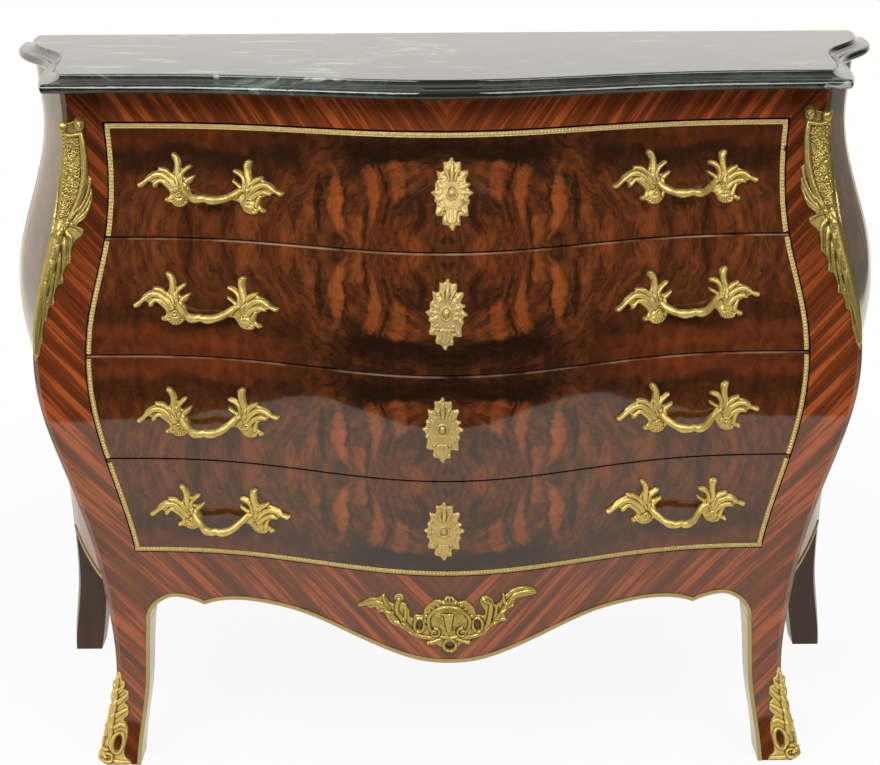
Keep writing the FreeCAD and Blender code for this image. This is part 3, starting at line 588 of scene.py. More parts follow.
class Relief:
    """Heights over a flat sheet, all in millimetres; where they fall below 0 is no metal.

    Where a mirrored half's width is given, what is drawn on the right shows on the left
    too, that many times as wide.
    """

    def __init__(self, left, low, right, high, step, mirrored=0.0):
        self.xs = np.arange(left, right + step, step)
        self.zs = np.arange(low, high + step, step)
        across, self.up = np.meshgrid(self.xs, self.zs)
        self.across = np.where(across < 0, -across / mirrored, across) if mirrored else across
        self.height = np.full(across.shape, NO_METAL)

    def near(self, rows, margin):
        """The rows and columns of the sheet that a curve can reach."""
        reach = rows[:, 2].max() + margin
        low, high = np.searchsorted(self.zs, (rows[:, 1].min() - reach, rows[:, 1].max() + reach))
        columns = np.flatnonzero((self.across[0] > rows[:, 0].min() - reach)
                                 & (self.across[0] < rows[:, 0].max() + reach))
        if len(columns) == 0 or low == high:
            return None
        return slice(low, high), slice(columns[0], columns[-1] + 1)

    def measure(self, rows):
        """For the sheet near a curve: distance from it, and its width and height there."""
        window = self.near(rows, EDGE_REACH)
        if window is None:
            return None
        point = np.stack((self.across[window].ravel(), self.up[window].ravel()), 1)
        start, leg = rows[:-1, :2], rows[1:, :2] - rows[:-1, :2]
        square = np.maximum((leg ** 2).sum(1), 1e-9)
        share = np.clip(((point[:, None] - start) * leg).sum(2) / square, 0, 1)
        gap = point[:, None] - start - share[..., None] * leg
        distance = np.sqrt((gap ** 2).sum(2))
        width = rows[:-1, 2] + share * (rows[1:, 2] - rows[:-1, 2])
        best = np.argmin(distance - width, 1)
        pick = np.arange(len(point))
        rise = rows[:-1, 3] + share * (rows[1:, 3] - rows[:-1, 3])
        shape = self.up[window].shape
        return (window, distance[pick, best].reshape(shape), width[pick, best].reshape(shape),
                rise[pick, best].reshape(shape))

    def stroke(self, points, section=rounded):
        """Metal along a curve; each point is x, z, half width and height."""
        found = self.measure(smooth_path(points))
        if found:
            window, distance, width, rise = found
            inside = rise * section(np.minimum(distance / width, 1))
            outside = np.maximum(EDGE_SLOPE * (width - distance), NO_METAL)
            metal = np.where(distance < width, inside, outside)
            self.height[window] = np.maximum(self.height[window], metal)

    def raise_on(self, *ridges):
        """Ridges laid on metal that is already there, never beyond its edge."""
        for points in ridges:
            found = self.measure(smooth_path(points))
            if found:
                window, distance, width, rise = found
                extra = rise * rounded(np.minimum(distance / width, 1))
                self.height[window] += np.where(self.height[window] > 0, extra, 0)

    def carve(self, points):
        """A groove cut into the metal along a curve; its height is the depth."""
        found = self.measure(smooth_path(points))
        if found:
            window, distance, width, depth = found
            cut = depth * rounded(np.minimum(distance / width, 1))
            old = self.height[window]
            self.height[window] = np.where(old > 0, np.maximum(old - cut, np.minimum(old, 0.5)), old)

    def dome(self, x, z, half_width, half_height, rise, section=rounded):
        """Metal over an oval."""
        share = self.oval(x, z, half_width, half_height)
        inside = rise * section(np.minimum(share, 1))
        outside = EDGE_SLOPE * (1 - share) * min(half_width, half_height)
        metal = np.where(share < 1, inside, np.maximum(outside, NO_METAL))
        self.height = np.maximum(self.height, metal)

    def hole(self, x, z, half_width, half_height, lean=0.0):
        """An opening right through the metal; lean turns it, in degrees."""
        share = self.oval(x, z, half_width, half_height, lean)
        edge = EDGE_SLOPE * (share - 1) * min(half_width, half_height)
        self.height = np.minimum(self.height, np.maximum(edge, NO_METAL))

    def oval(self, x, z, half_width, half_height, lean=0.0):
        """How far each point lies from an oval's middle, where 1 is the oval itself."""
        cosine, sine = direction(lean)
        across, up = self.across - x, self.up - z
        along = across * cosine + up * sine
        over = up * cosine - across * sine
        return np.hypot(along / half_width, over / half_height)

    def plate(self, outline, rise, bevel=1.2, smooth=True):
        """A flat sheet inside a closed outline, its edge rounded over the bevel."""
        corners = np.array(outline, float)
        if smooth:
            around = np.vstack((corners[-1:], corners, corners[:2]))
            corners = smooth_path(around, 3)[3:-3]
        following = np.roll(corners, -1, 0)
        distance = np.full(self.up.shape, 1e9)
        within = np.zeros(self.up.shape, bool)
        for (x, z), (next_x, next_z) in zip(corners, following):
            leg_x, leg_z = next_x - x, next_z - z
            square = max(leg_x ** 2 + leg_z ** 2, 1e-9)
            share = np.clip(((self.across - x) * leg_x + (self.up - z) * leg_z) / square, 0, 1)
            distance = np.minimum(distance, np.hypot(self.across - x - share * leg_x,
                                                     self.up - z - share * leg_z))
            if leg_z:
                crosses = (z > self.up) != (next_z > self.up)
                within ^= crosses & (self.across < x + (self.up - z) * leg_x / leg_z)
        share = np.clip(1 - distance / bevel, 0, 1)
        metal = np.where(within, rise * np.sqrt(1 - share ** 2 * 0.9),
                         np.maximum(-EDGE_SLOPE * distance, NO_METAL))
        self.height = np.maximum(self.height, metal)

    def beads(self, points, radius, rise, pitch):
        """A row of beads along a curve."""
        rows = smooth_path(points)
        run = run_along(rows[:, :2])
        for place in np.arange(0, run[-1], pitch):
            x, z = (np.interp(place, run, rows[:, column]) for column in (0, 1))
            self.spot(x, z, radius, rise)

    def spot(self, x, z, radius, rise):
        """A small dome, worked out only where it reaches."""
        window = self.near(np.array([(x, z, radius, rise)]), 0)
        if window is None:
            return
        distance = np.hypot(self.across[window] - x, self.up[window] - z) / radius
        metal = np.where(distance < 1, rise * rounded(distance), NO_METAL)
        self.height[window] = np.maximum(self.height[window], metal)

    def hollow(self):
        """How far each point lies below its surroundings, from 0 to 1."""
        level_height = np.maximum(self.height, 0)
        around = level_height
        for _ in range(HOLLOW_ROUNDS):
            edged = np.pad(around, 1, mode="edge")
            around = (edged[:-2, 1:-1] + edged[2:, 1:-1] + edged[1:-1, :-2]
                      + edged[1:-1, 2:] + edged[1:-1, 1:-1]) / 5
        return np.clip(0.5 + (around - level_height) / HOLLOW_DEPTH, 0, 1)

    def form(self, skin):
        """The relief laid on a skin: its points, its four-sided faces and its hollows."""
        height = self.height
        top = np.maximum(np.maximum(height[:-1, :-1], height[:-1, 1:]),
                         np.maximum(height[1:, :-1], height[1:, 1:]))
        kept = top > EDGE_KEPT
        used = np.zeros(height.shape, bool)
        for down in (slice(None, -1), slice(1, None)):
            for over in (slice(None, -1), slice(1, None)):
                used[down, over] |= kept
        number = np.full(height.shape, -1)
        number[used] = np.arange(used.sum())
        total = int(used.sum())
        a, b = number[:-1, :-1], number[:-1, 1:]
        c, d = number[1:, 1:], number[1:, :-1]
        faces = np.stack((a, b, c, d), -1)[kept]
        edged = np.pad(kept, 1)
        walls = []
        for first, second, missing in ((a, b, edged[:-2, 1:-1]), (b, c, edged[1:-1, 2:]),
                                       (c, d, edged[2:, 1:-1]), (d, a, edged[1:-1, :-2])):
            rim = kept & ~missing
            start, stop = first[rim], second[rim]
            walls.append(np.stack((stop, start, start + total, stop + total), -1))
        across, up = np.meshgrid(self.xs, self.zs)
        across, up = across[used] * MM, up[used] * MM
        upper = skin(across, up, np.maximum(height[used], UNDERSIDE + 0.1) * MM)
        lower = skin(across, up, np.full(total, UNDERSIDE * MM))
        hollow = np.concatenate((self.hollow()[used], np.ones(total)))
        faces = np.vstack((faces, faces[:, ::-1] + total, *walls))
        return turned_out(np.vstack((upper, lower)), faces, hollow, skin.outward)


# ---------------------------------------------------------------- surfaces to lay them on

def tree_of(*names):
    """One search tree over the surfaces of several nodes."""
    points, faces = [], []
    for name in names:
        mesh = NODES[name].data
        start = len(points)
        points += [vertex.co.copy() for vertex in mesh.vertices]
        faces += [[start + index for index in face.vertices] for face in mesh.polygons]
    return BVHTree.FromPolygons(points, faces)


def front_hit(tree, x, z):
    """Where a level ray from in front of the chest meets the surfaces, or None."""
    return tree.ray_cast(Vector((x, -1, z)), Vector((0, 1, 0)))[0]


def between(grid, row, column):
    """Values of a grid at fractional rows and columns."""
    row = np.clip(row, 0, grid.shape[0] - 1.001)
    column = np.clip(column, 0, grid.shape[1] - 1.001)
    low, left = row.astype(int), column.astype(int)
    up, over = row - low, column - left
    if grid.ndim == 3:
        up, over = up[:, None], over[:, None]
    lower = grid[low, left] * (1 - over) + grid[low, left + 1] * over
    upper = grid[low + 1, left] * (1 - over) + grid[low + 1, left + 1] * over
    return lower * (1 - up) + upper * up


class FrontSkin:
    """A node's front as a sheet: x, z and a height above it go in, points come out."""

    PITCH = 0.004
    outward = np.array((0, -1.0, 0))

    def __init__(self, name, left, low, right, high):
        tree = tree_of(name)
        self.left, self.low = left, low
        xs = np.arange(left, right + self.PITCH, self.PITCH)
        zs = np.arange(low, high + self.PITCH, self.PITCH)
        depth = np.full((len(zs), len(xs)), np.nan)
        for row, z in enumerate(zs):
            for column, x in enumerate(xs):
                hit = front_hit(tree, x, z)
                if hit is not None:
                    depth[row, column] = hit.y
        self.depth = self.filled(depth)
        rise, run = np.gradient(self.depth, self.PITCH)
        self.slopes = np.stack((run, rise), -1)

    @staticmethod
    def filled(depth):
        """Carry the surface's own trend out beyond its edges."""
        for lines in (depth, depth.T):
            for line in lines:
                known = np.flatnonzero(~np.isnan(line))
                if 1 < len(known) < len(line):
                    places = np.arange(len(line))
                    line[:] = np.interp(places, known, line[known])
                    first, last = known[0], known[-1]
                    start_step = line[first + 1] - line[first]
                    end_step = line[last] - line[last - 1]
                    line[:first] += start_step * (places[:first] - first)
                    line[last + 1:] += end_step * (places[last + 1:] - last)
        return np.nan_to_num(depth, nan=float(np.nanmean(depth)))

    def __call__(self, x, z, height):
        row, column = (z - self.low) / self.PITCH, (x - self.left) / self.PITCH
        y = between(self.depth, row, column)
        slope = between(self.slopes, row, column)
        out = np.stack((slope[:, 0], -np.ones(len(x)), slope[:, 1]), 1)
        return np.stack((x, y, z), 1) + unit(out) * height[:, None]


class PlacedSkin:
    """A skin read about a new origin, turned by a few degrees."""

    def __init__(self, skin, x, z, lean):
        self.skin, self.x, self.z = skin, x, z
        self.cosine, self.sine = direction(lean)
        self.outward = skin.outward

    def __call__(self, x, z, height):
        return self.skin(self.x + x * self.cosine - z * self.sine,
                         self.z + x * self.sine + z * self.cosine, height)


class CornerSkin:
    """A front leg unrolled about its arris: across is the way from it, inward on the front."""

    RISE = 0.004
    PITCH = 0.002
    PIVOT_DEPTH = 0.045         # how far behind the arris its fan of rays turns
    FAN = np.arange(-66, 66.1, 1.5)     # degrees of the rays from the diagonal
    ARRIS_SEARCH = 0.40 + 0.002 * np.arange(61)     # x of the rays that look for the arris
    ARRIS_DEGREE = 5            # of the smooth curve that evens out the arris

    def __init__(self, side, low, high, reach):
        word = "left" if side < 0 else "right"
        tree = tree_of(f"front_{word}_leg", f"{word}_side_panel")
        self.low, self.reach = low, reach
        self.outward = np.array((side, -1.0, 0)) / math.sqrt(2)
        zs = np.arange(low, high + self.RISE, self.RISE)
        distances = np.arange(-reach, reach + self.PITCH, self.PITCH)
        found = np.array([self.arris(tree, side, z) for z in zs])
        curves = [np.polyfit(zs, found[:, axis], self.ARRIS_DEGREE) for axis in (0, 1)]
        arrises = np.stack([np.polyval(curve, zs) for curve in curves], 1)
        points = np.empty((len(zs), len(distances), 3))
        for row, (z, arris) in enumerate(zip(zs, arrises)):
            points[row] = self.section(tree, side, z, arris, distances)
        self.points = points
        out = unit(np.cross(np.gradient(points, axis=1), np.gradient(points, axis=0)))
        self.out = out * np.sign(out @ self.outward)[..., None]

    def arris(self, tree, side, z):
        """The corner at one height: of a row of hits on the front, the one furthest out."""
        hits = [front_hit(tree, side * x, z) for x in self.ARRIS_SEARCH]
        return np.array(max((hit for hit in hits if hit is not None),
                            key=lambda hit: side * hit.x - hit.y))

    def section(self, tree, side, z, arris, distances):
        """Points of the surface at one height, at these distances from the arris along it."""
        inner = self.PIVOT_DEPTH
        pivot = Vector((arris[0] - side * inner, arris[1] + inner, z))
        hits = []
        for degrees in self.FAN:
            toward = Vector((*direction(degrees - 45 if side > 0 else -135 - degrees), 0))
            hit = tree.ray_cast(pivot + toward * 0.5, -toward)[0]
            if hit is not None:
                hits.append((degrees, hit.x, hit.y))
        hits = np.array(hits)
        run = run_along(hits[:, 1:])
        run -= np.interp(0, hits[:, 0], run)
        order = -run[::-1]
        xs = np.interp(distances, order, hits[::-1, 1])
        ys = np.interp(distances, order, hits[::-1, 2])
        return np.stack((xs, ys, np.full(len(xs), z)), 1)

    def __call__(self, across, z, height):
        row, column = (z - self.low) / self.RISE, (across + self.reach) / self.PITCH
        out = unit(between(self.out, row, column))
        return between(self.points, row, column) + out * height[:, None]


def join_forms(*forms):
    """Several forms as one."""
    start, points, faces, hollows = 0, [], [], []
    for form_points, form_faces, form_hollow in forms:
        points.append(form_points)
        faces.append(form_faces + start)
        hollows.append(form_hollow)
        start += len(form_points)
    return np.vstack(points), np.vstack(faces), np.concatenate(hollows)


def make_piece(name, form, body, replaced, material):
    """A mesh object from a form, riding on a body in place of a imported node."""
    points, faces, hollow = form
    mesh = bpy.data.meshes.new(name)
    mesh.vertices.add(len(points))
    mesh.vertices.foreach_set("co", points.astype(np.float32).ravel())
    mesh.loops.add(faces.size)
    mesh.loops.foreach_set("vertex_index", faces.astype(np.int32).ravel())
    mesh.polygons.add(len(faces))
    mesh.polygons.foreach_set("loop_start", np.arange(0, faces.size, 4, dtype=np.int32))
    mesh.polygons.foreach_set("use_smooth", np.ones(len(faces), bool))
    mesh.update(calc_edges=True)
    mesh.validate()
    field = mesh.attributes.new("hollow", "FLOAT", "POINT")
    field.data.foreach_set("value", hollow.astype(np.float32))
    mesh.materials.append(material)
    piece = add_object(name, mesh)
    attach(piece, body)
    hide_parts(replaced)


# ---------------------------------------------------------------- the castings, in millimetres

RELIEF_STEP = 0.6
FINE_STEP = 0.5


def stretched(rows, factor, start=-math.inf):
    """Rows whose heights are multiplied, from a start upward, to a tenth of a millimetre."""
    base = max(start, 0)
    return [(x, round(base + (z - base) * factor, 1) if z > start else z, *rest)
            for x, z, *rest in rows]


# The sheets that the castings are drawn on: left, lowest, right and highest.
HANDLE_SHEET = (-92, -33, 92, 36)
ESCUTCHEON_SHEET = (-27, -47, 27, 46)
CHUTE_SHEET = (-17, 542, 46, 830)
SABOT_SHEET = (-33, 0, 33, 118)
APRON_SHEET = (-113, 181, 110, 274)

# A handle's two leaves, x and z from its middle.
LEFT_LEAF = ((-85.2, -11.5), (-87.4, -7.5), (-80.5, -2.6), (-75.7, 3.9), (-68.6, 8.7), (-64.2, 10.4),
             (-63, 14.2), (-53, 13.5), (-48.3, 8.7), (-45.4, 11), (-44.8, 20.6), (-49, 28.6), (-44.4, 32),
             (-39.4, 27.7), (-36.4, 21.2), (-35.5, 14.6), (-28, 19.4), (-23.2, 17.8), (-29.3, 11),
             (-32.3, 7.5), (-30.5, 4.2), (-20.6, 8.2), (-19.2, 5.4), (-23.3, -0.8), (-25.7, -3.8),
             (-23.3, -12.7), (-25.7, -18.7), (-27, -24.6), (-32.9, -29.6), (-41.2, -29.6), (-46.5, -25.8),
             (-52, -26), (-54.7, -22.6), (-49, -18.7), (-49.5, -12.7), (-55.5, -7.4), (-61.4, -4.4),
             (-63.8, -9), (-68.6, -10.4), (-70.4, -4.6), (-74.5, -4.4), (-80.5, -10.4))
RIGHT_LEAF = ((86.4, -0.2), (86.4, -4), (82, -5.8), (76.7, -3.2), (72.5, -4.4), (71.9, -6.6), (67.1, -6.8),
              (61.2, -10.4), (59.6, -17.5), (61.2, -20.5), (65.4, -22), (66.8, -25.2), (62.4, -27.2),
              (58.2, -24.6), (56.4, -28.4), (48.1, -29.8), (41, -27.6), (37.4, -22.3), (34, -17.6),
              (27.9, -17), (27.9, -11.5), (32.6, -4.4), (33.8, -2), (26.7, 3), (25, 7), (28.4, 6.9),
              (36.2, 2.4), (36.8, 6.3), (33.8, 11), (26.7, 14.4), (25.2, 17.8), (29, 19.8), (36.2, 17.8),
              (39.6, 14.6), (38, 23), (38, 27.7), (41, 30.9), (44.4, 32), (48.3, 29.4), (46.9, 22),
              (48.7, 11), (52.3, 12.5), (60.8, 15), (62.4, 11), (69.5, 8.7), (75.5, 5.1), (77.9, 1.5))
LEAF_RISE = 3
LEAF_BEVEL = 1.8

# Ridges along the leaves: x, z, half width, and height above the plate.
HANDLE_RIDGES = (
    ((-41, -10, 3.4, 2.6), (-49, -1.6, 3.6, 3), (-57, 4.4, 3.4, 3), (-65, 5, 3.2, 3), (-72, 1, 2.8, 2.6),
     (-79, -4.4, 2.6, 2.4), (-85, -8.6, 3, 2.6)),
    ((-40, -5, 2.6, 2.2), (-45.6, 4, 3, 2.6), (-53, 9.6, 2.8, 2.4), (-61, 11.6, 2, 2)),
    ((-46, -12.6, 2.8, 2.4), (-53, -5, 3, 2.8), (-60, -1.4, 2.6, 2.6), (-66.4, -6, 2.6, 3)),
    ((-37, -6, 2.8, 2.6), (-40, 6, 3.4, 3.2), (-40.5, 17, 3.2, 3), (-42.6, 26, 2.8, 2.8),
     (-45.6, 29.2, 2.6, 2.8)),
    ((-34.6, -4, 2.2, 2.4), (-35.6, 6, 2.3, 2.6), (-32.6, 11.6, 2.2, 2.4), (-25.6, 17, 2, 2)),
    ((-29.5, -5, 2.6, 2.6), (-28.4, 0, 2.8, 2.6), (-21.4, 5.6, 1.8, 2)),
    ((-27, -20, 2.4, 2.4), (-26, -12, 3, 3.4), (-29.5, -5, 3, 3), (-34, -1, 2.4, 2.4)),
    ((45.4, -10, 3.2, 2.6), (51, -2, 3.4, 3), (59.4, 4, 3.2, 3), (67.4, 5, 2.8, 2.8), (74, 1.6, 2.6, 2.6),
     (84, -2.8, 2.6, 2.6)),
    ((45, -4, 2.4, 2.2), (49.6, 5, 2.8, 2.6), (55.4, 10, 2.6, 2.4), (60.4, 12.6, 1.6, 2)),
    ((49.6, -13, 2.8, 2.4), (55, -7, 3, 2.8), (61.4, -3.6, 2.8, 3), (66.4, -3.2, 2.8, 3.6),
     (70.6, -5.4, 1.8, 2)),
    ((56, -20, 2.4, 2.2), (57.6, -14, 2.6, 2.4), (60, -9, 2, 2)),
    ((43.6, -6, 2.8, 2.6), (45.2, 6, 3.2, 3.2), (42.6, 18, 3.2, 3), (42.6, 25, 3.6, 3),
     (44.8, 29, 2.8, 2.6)),
    ((39.8, -4, 2.2, 2.4), (40, 6, 2.3, 2.6), (36.4, 12.6, 2.2, 2.4), (28, 17.2, 2, 2)),
    ((36, -6, 2.4, 2.4), (34.6, 0, 2.4, 2.4), (27, 5.2, 1.6, 1.8)),
    ((29, -14, 3, 3), (33, -7, 3.2, 3.4), (38.4, -4, 2.6, 2.4)),
)
# Knobs and scallop shells: x, z, radius and height.
HANDLE_KNOBS = ((-84.6, -8.6, 3, 6), (-66.8, -7.2, 2.7, 6), (-51.6, -22.8, 2.7, 6), (-45.8, 29.4, 2.6, 6),
                (83.8, -2.8, 2.8, 5.6), (65.6, -3, 2.8, 6.6), (63.2, -24, 2.8, 6), (44, 29, 3, 6.2))
HANDLE_SHELLS = ((-37, -19.8, 9, 6.6), (46.4, -19.6, 9.4, 6.8))
SHELL_FLUTES = range(-150, -29, 20)     # in degrees
SHELL_FLUTE_REACH = (0.25, 0.7, 1.2)    # shares of the shell's radius


def draw_shell(relief, x, z, radius, rise):
    """A little scallop shell: a dome whose flutes spread downward from under a curl."""
    relief.dome(x, z, radius, radius, rise * 0.85)
    for degrees in SHELL_FLUTES:
        over, up = direction(degrees)
        relief.carve([(x + over * radius * share, z + 2 + up * radius * share, 0.8, 0.9)
                      for share in SHELL_FLUTE_REACH])
    relief.stroke(spiral(x, z + radius * 0.35, radius * 0.4, radius * 0.12, 40, 1.0, 1.5, rise))


def draw_handle():
    relief = Relief(*HANDLE_SHEET, RELIEF_STEP)
    relief.plate(LEFT_LEAF, LEAF_RISE, LEAF_BEVEL)
    relief.plate(RIGHT_LEAF, LEAF_RISE, LEAF_BEVEL)
    relief.raise_on(*HANDLE_RIDGES)
    for knob in HANDLE_KNOBS:
        relief.spot(*knob)
    for shell in HANDLE_SHELLS:
        draw_shell(relief, *shell)
    return relief


# The bail: x, z, height above the drawer, radius.
BAIL = ((-34, -4, 2, 3.2), (-29, -11, 7, 4.2), (-21, -16.4, 15, 4.3), (-13, -18.6, 21.5, 5.0),
        (-6, -18.4, 24, 4.8), (0, -17.2, 24.4, 4.1), (6, -18.2, 24, 4.8), (14, -18, 21.5, 4.9),
        (22, -15.2, 15, 4.3), (29, -10.4, 7.5, 4.2), (36, -4, 2, 3.2))
BAIL_SPAN = 7               # steps from one of its points to the next
BAIL_ROUND = 20
BAIL_BUMPS = 0.05
BAIL_BUMP_PACE = 0.55       # radians of the bumps' wave for each step


def bail_form(skin):
    """The fixed bail of a handle, its gilding worn on the bumps left by the caster."""
    rows = smooth_path(BAIL, BAIL_SPAN)
    spine, radius = rows[:, :3], rows[:, 3]
    along = unit(np.gradient(spine, axis=0))
    side = unit(np.cross(along, (0, 0, 1.0)))
    rise = np.cross(side, along)
    turns = np.linspace(0, FULL_TURN, BAIL_ROUND, endpoint=False)
    steps = len(rows)
    wave = np.cos(np.arange(steps)[:, None] * BAIL_BUMP_PACE + 2 * np.sin(turns)[None])
    reach = radius[:, None] * (1 + BAIL_BUMPS * wave)
    ring = (spine[:, None] + reach[..., None] * (np.cos(turns)[None, :, None] * side[:, None]
                                                 + np.sin(turns)[None, :, None] * rise[:, None]))
    points = skin(*(ring.reshape(-1, 3) * MM).T)
    number = np.arange(steps * BAIL_ROUND).reshape(steps, BAIL_ROUND)
    ahead = np.roll(number, -1, 1)
    faces = np.stack((number[:-1], ahead[:-1], ahead[1:], number[1:]), -1).reshape(-1, 4)
    hollow = np.clip(0.42 - 2.4 * (wave - 0.2) * BAIL_BUMPS, 0, 1).ravel()
    return turned_out(points, faces, hollow, skin.outward)


# An escutcheon's tips and notches, clockwise from the top, x and z from its middle, and
# its knobs. Both are squeezed to the height of the casting.
ESCUTCHEON_SQUEEZE = 0.93
ESCUTCHEON = ((-0.7, 42.4), (3, 36.6), (9.6, 37), (10.4, 30), (10.8, 26), (16, 27.4), (18.8, 24.4),
              (16.6, 18.5), (16, 13.6), (21, 10.8), (18, 6), (24.8, 0), (19, -4.5), (21, -9.6),
              (18.2, -15.6), (19.2, -25.8), (15.8, -27.4), (10.6, -26.9), (9.8, -31), (10.2, -37.6),
              (5, -38.4), (3, -44), (-0.3, -43.4), (-3.7, -38.4), (-8.8, -37.4), (-10.4, -34),
              (-9.8, -28.2), (-10.4, -27), (-16, -27), (-18.4, -24), (-17, -17), (-17.6, -11.6), (-20, -9),
              (-19, -5.2), (-23.8, -0.2), (-19, 4), (-19.4, 11), (-16, 15.7), (-17, 22), (-17.4, 25.8),
              (-13, 25.2), (-10.4, 25.8), (-9.8, 31), (-10, 36.8), (-4.7, 37))
ESCUTCHEON_KNOBS = ((-0.6, 39.6), (7.8, 34.8), (15.6, 24), (18.8, 10), (21.8, 0), (18.4, -9.4), (16, -23.8),
                    (7.6, -34.8), (1.6, -40.6), (-7.6, -34.6), (-15.2, -23.8), (-17.4, -9.2), (-20.8, 0),
                    (-17.2, 10), (-14.8, 23), (-7.8, 34.6))
PETAL_TURN = 24             # degrees from one petal round the boss to the next
# The points of a petal's stroke: reach across, reach up, half width and height.
PETAL = ((7, 9.4, 1.7, 3.7), (10.4, 14.4, 2.5, 4.2), (14.4, 20, 1.8, 3.6))
ESCUTCHEON_DOTS = 110
CREST = ((0, 14, 2, 4.6), (0, 22, 3, 5.2), (0, 31, 2, 4.4))
CREST_SIDE = ((3.4, 13, 1.6, 4.4), (5.4, 21, 2.2, 4.8), (8.4, 26, 1.6, 4.2))
PENDANT = ((-6, -17.4), (6, -17.4), (6.6, -26), (5, -32), (0, -34.6), (-5, -32), (-6.6, -26))
PENDANT_KNOBS = ((8.6, -18.6, 2.2, 4.8), (8.6, -30.6, 2, 4.4))
PENDANT_GROOVE = ((2.4, -19.6, 0.9, 0.5), (2.4, -31, 0.9, 0.5))


def sided(side, rows):
    """Rows as they are for side 1, and mirrored left to right for side -1."""
    return [(side * x, *rest) for x, *rest in rows]


def draw_escutcheon():
    """A rosette of petals round a boss, with a crest above and a pendant below."""
    relief = Relief(*ESCUTCHEON_SHEET, FINE_STEP)
    relief.plate(stretched(ESCUTCHEON, ESCUTCHEON_SQUEEZE), 2.4, 1.8)
    relief.dome(0, -1, 17, 25, 3.2, level)
    for x, z in stretched(ESCUTCHEON_KNOBS, ESCUTCHEON_SQUEEZE):
        relief.spot(x, z, 2.3, 3.6)
        relief.raise_on(((x * 0.62, z * 0.66, 2.6, 0.5), (x * 0.9, z * 0.92, 2.2, 0.8)))
    for degrees in range(0, 360, PETAL_TURN):
        x, z = direction(degrees)
        relief.stroke([(x * over, z * up, width, rise) for over, up, width, rise in PETAL], leafy)
    dots = random.Random(3)
    for _ in range(ESCUTCHEON_DOTS):
        turn, reach = dots.uniform(0, FULL_TURN), dots.uniform(0.5, 1)
        relief.spot(18 * reach * math.cos(turn), 29 * reach * math.sin(turn), 1.1, dots.uniform(3.2, 4.2))
    relief.stroke(CREST)
    for side in (-1, 1):
        relief.stroke(sided(side, CREST_SIDE))
        for knob in sided(side, PENDANT_KNOBS):
            relief.spot(*knob)
    relief.plate(PENDANT, 4.3, 2)
    for side in (-1, 1):
        relief.carve(sided(side, PENDANT_GROOVE))
    relief.stroke(arc(0, 0, 5.6, 7.2, 1.5, 4.4))
    relief.height = np.where(relief.oval(0, 0, 4.7, 6.3) < 1, 2.6, relief.height)
    relief.dome(0, 0, 3.7, 5.2, 4.4)
    return relief


# Half of a corner mount, unrolled: distance from the arris, and height.
CHUTE = ((-3, 818), (4, 819), (9, 819), (15, 821), (20, 826.5), (26, 825.5), (28, 817), (26, 807),
         (27.6, 795), (29, 780), (29.6, 767), (31, 758), (34.6, 754.6), (34, 746), (36.4, 739), (37.4, 729),
         (36, 719), (32, 710), (26.6, 704), (25, 700), (30, 698.4), (34.4, 695), (32.4, 688.6), (27.4, 684),
         (25.4, 677), (26, 668), (28.6, 659), (25.4, 656), (23, 650), (22.8, 643), (26, 634), (21, 632.6),
         (18.6, 627), (18, 618), (20.6, 609), (16, 608), (14, 601), (14.8, 591), (11.4, 589), (10.4, 580),
         (11, 567), (8.6, 561), (7, 552), (4, 546), (-3, 544))
CHUTE_RIDGES = (
    ((6, 703, 2.6, 0), (17, 702.6, 3, 2.4), (25, 700, 2.8, 2.4), (32, 695, 2.2, 2)),
    ((6.6, 699, 2.6, 0), (16, 691, 3, 2.4), (22, 682, 2.6, 2.2), (26.6, 661, 2, 2)),
    ((7, 693, 2.4, 0), (14.6, 679, 2.8, 2.4), (19, 664, 2.6, 2.2), (24.6, 636, 2, 2)),
    ((7.4, 680, 2.2, 0), (13.4, 662, 2.6, 2.2), (16.6, 644, 2.4, 2.2), (19.4, 611, 1.9, 2)),
    ((7, 661, 1.9, 0), (11.6, 642, 2.4, 2.2), (13, 624, 2.2, 2.2), (13.8, 593, 1.8, 1.8)),
    ((6, 636, 1.6, 0), (9.4, 616, 2.2, 2), (10, 598, 2, 2), (10.2, 570, 1.6, 1.6)),
    ((16, 708.6, 2.2, 1.6), (24, 719, 2.4, 2.2), (30, 733, 2.2, 2.2), (33.4, 751, 1.6, 1.8)),
    ((18, 706.8, 2, 1.6), (26, 714, 2.2, 2.2), (32, 726, 2, 2.2), (35.4, 738, 1.5, 1.6)),
    ((20, 705, 1.9, 1.6), (27, 709.6, 2, 2), (33, 718, 1.9, 2), (36, 728, 1.4, 1.6)),
    ((21.6, 703.6, 1.6, 1.4), (28, 705.6, 1.8, 1.8), (33, 711, 1.7, 1.8), (35, 718, 1.3, 1.4)),
)
CHUTE_RIM = ((22.6, 806, 3, 2.4), (24.6, 795, 3.8, 3.2), (25.4, 778, 4.2, 3.6), (25.6, 758, 4.2, 3.8),
             (23.4, 738, 4, 3.8), (18, 718, 3.8, 3.6), (12, 703, 3.8, 3.2), (6.4, 690, 3.6, 2.4))
CHUTE_STEM = ((4, 704, 4, 2), (5.4, 690, 6.4, 3.6), (5.4, 665, 6.8, 4), (4.6, 635, 6, 4),
              (3.8, 605, 5, 3.6), (3, 575, 3.8, 3), (1.6, 551, 2.8, 1.8))
CHUTE_PANEL_RISE = 0.9      # of the sunk panel, whose edge is given as height and reach
CHUTE_PANEL_EDGE = ((808, 20), (795, 20.8), (778, 21.2), (758, 21.2), (738, 19), (718, 13.6), (704, 7))
CHUTE_SCROLLS = 64
CHUTE_CORNICE = ((2, 806, 3, 4.6), (11, 804.6, 3, 5), (22, 806, 3, 4.8))
CHUTE_FLUTES = (8.4, 11.4, 14.4)
CHUTE_SIDE_WIDTH = 0.35     # the half that turns onto the side is narrow
CHUTE_SIDE_RISE = 0.6       # and thin
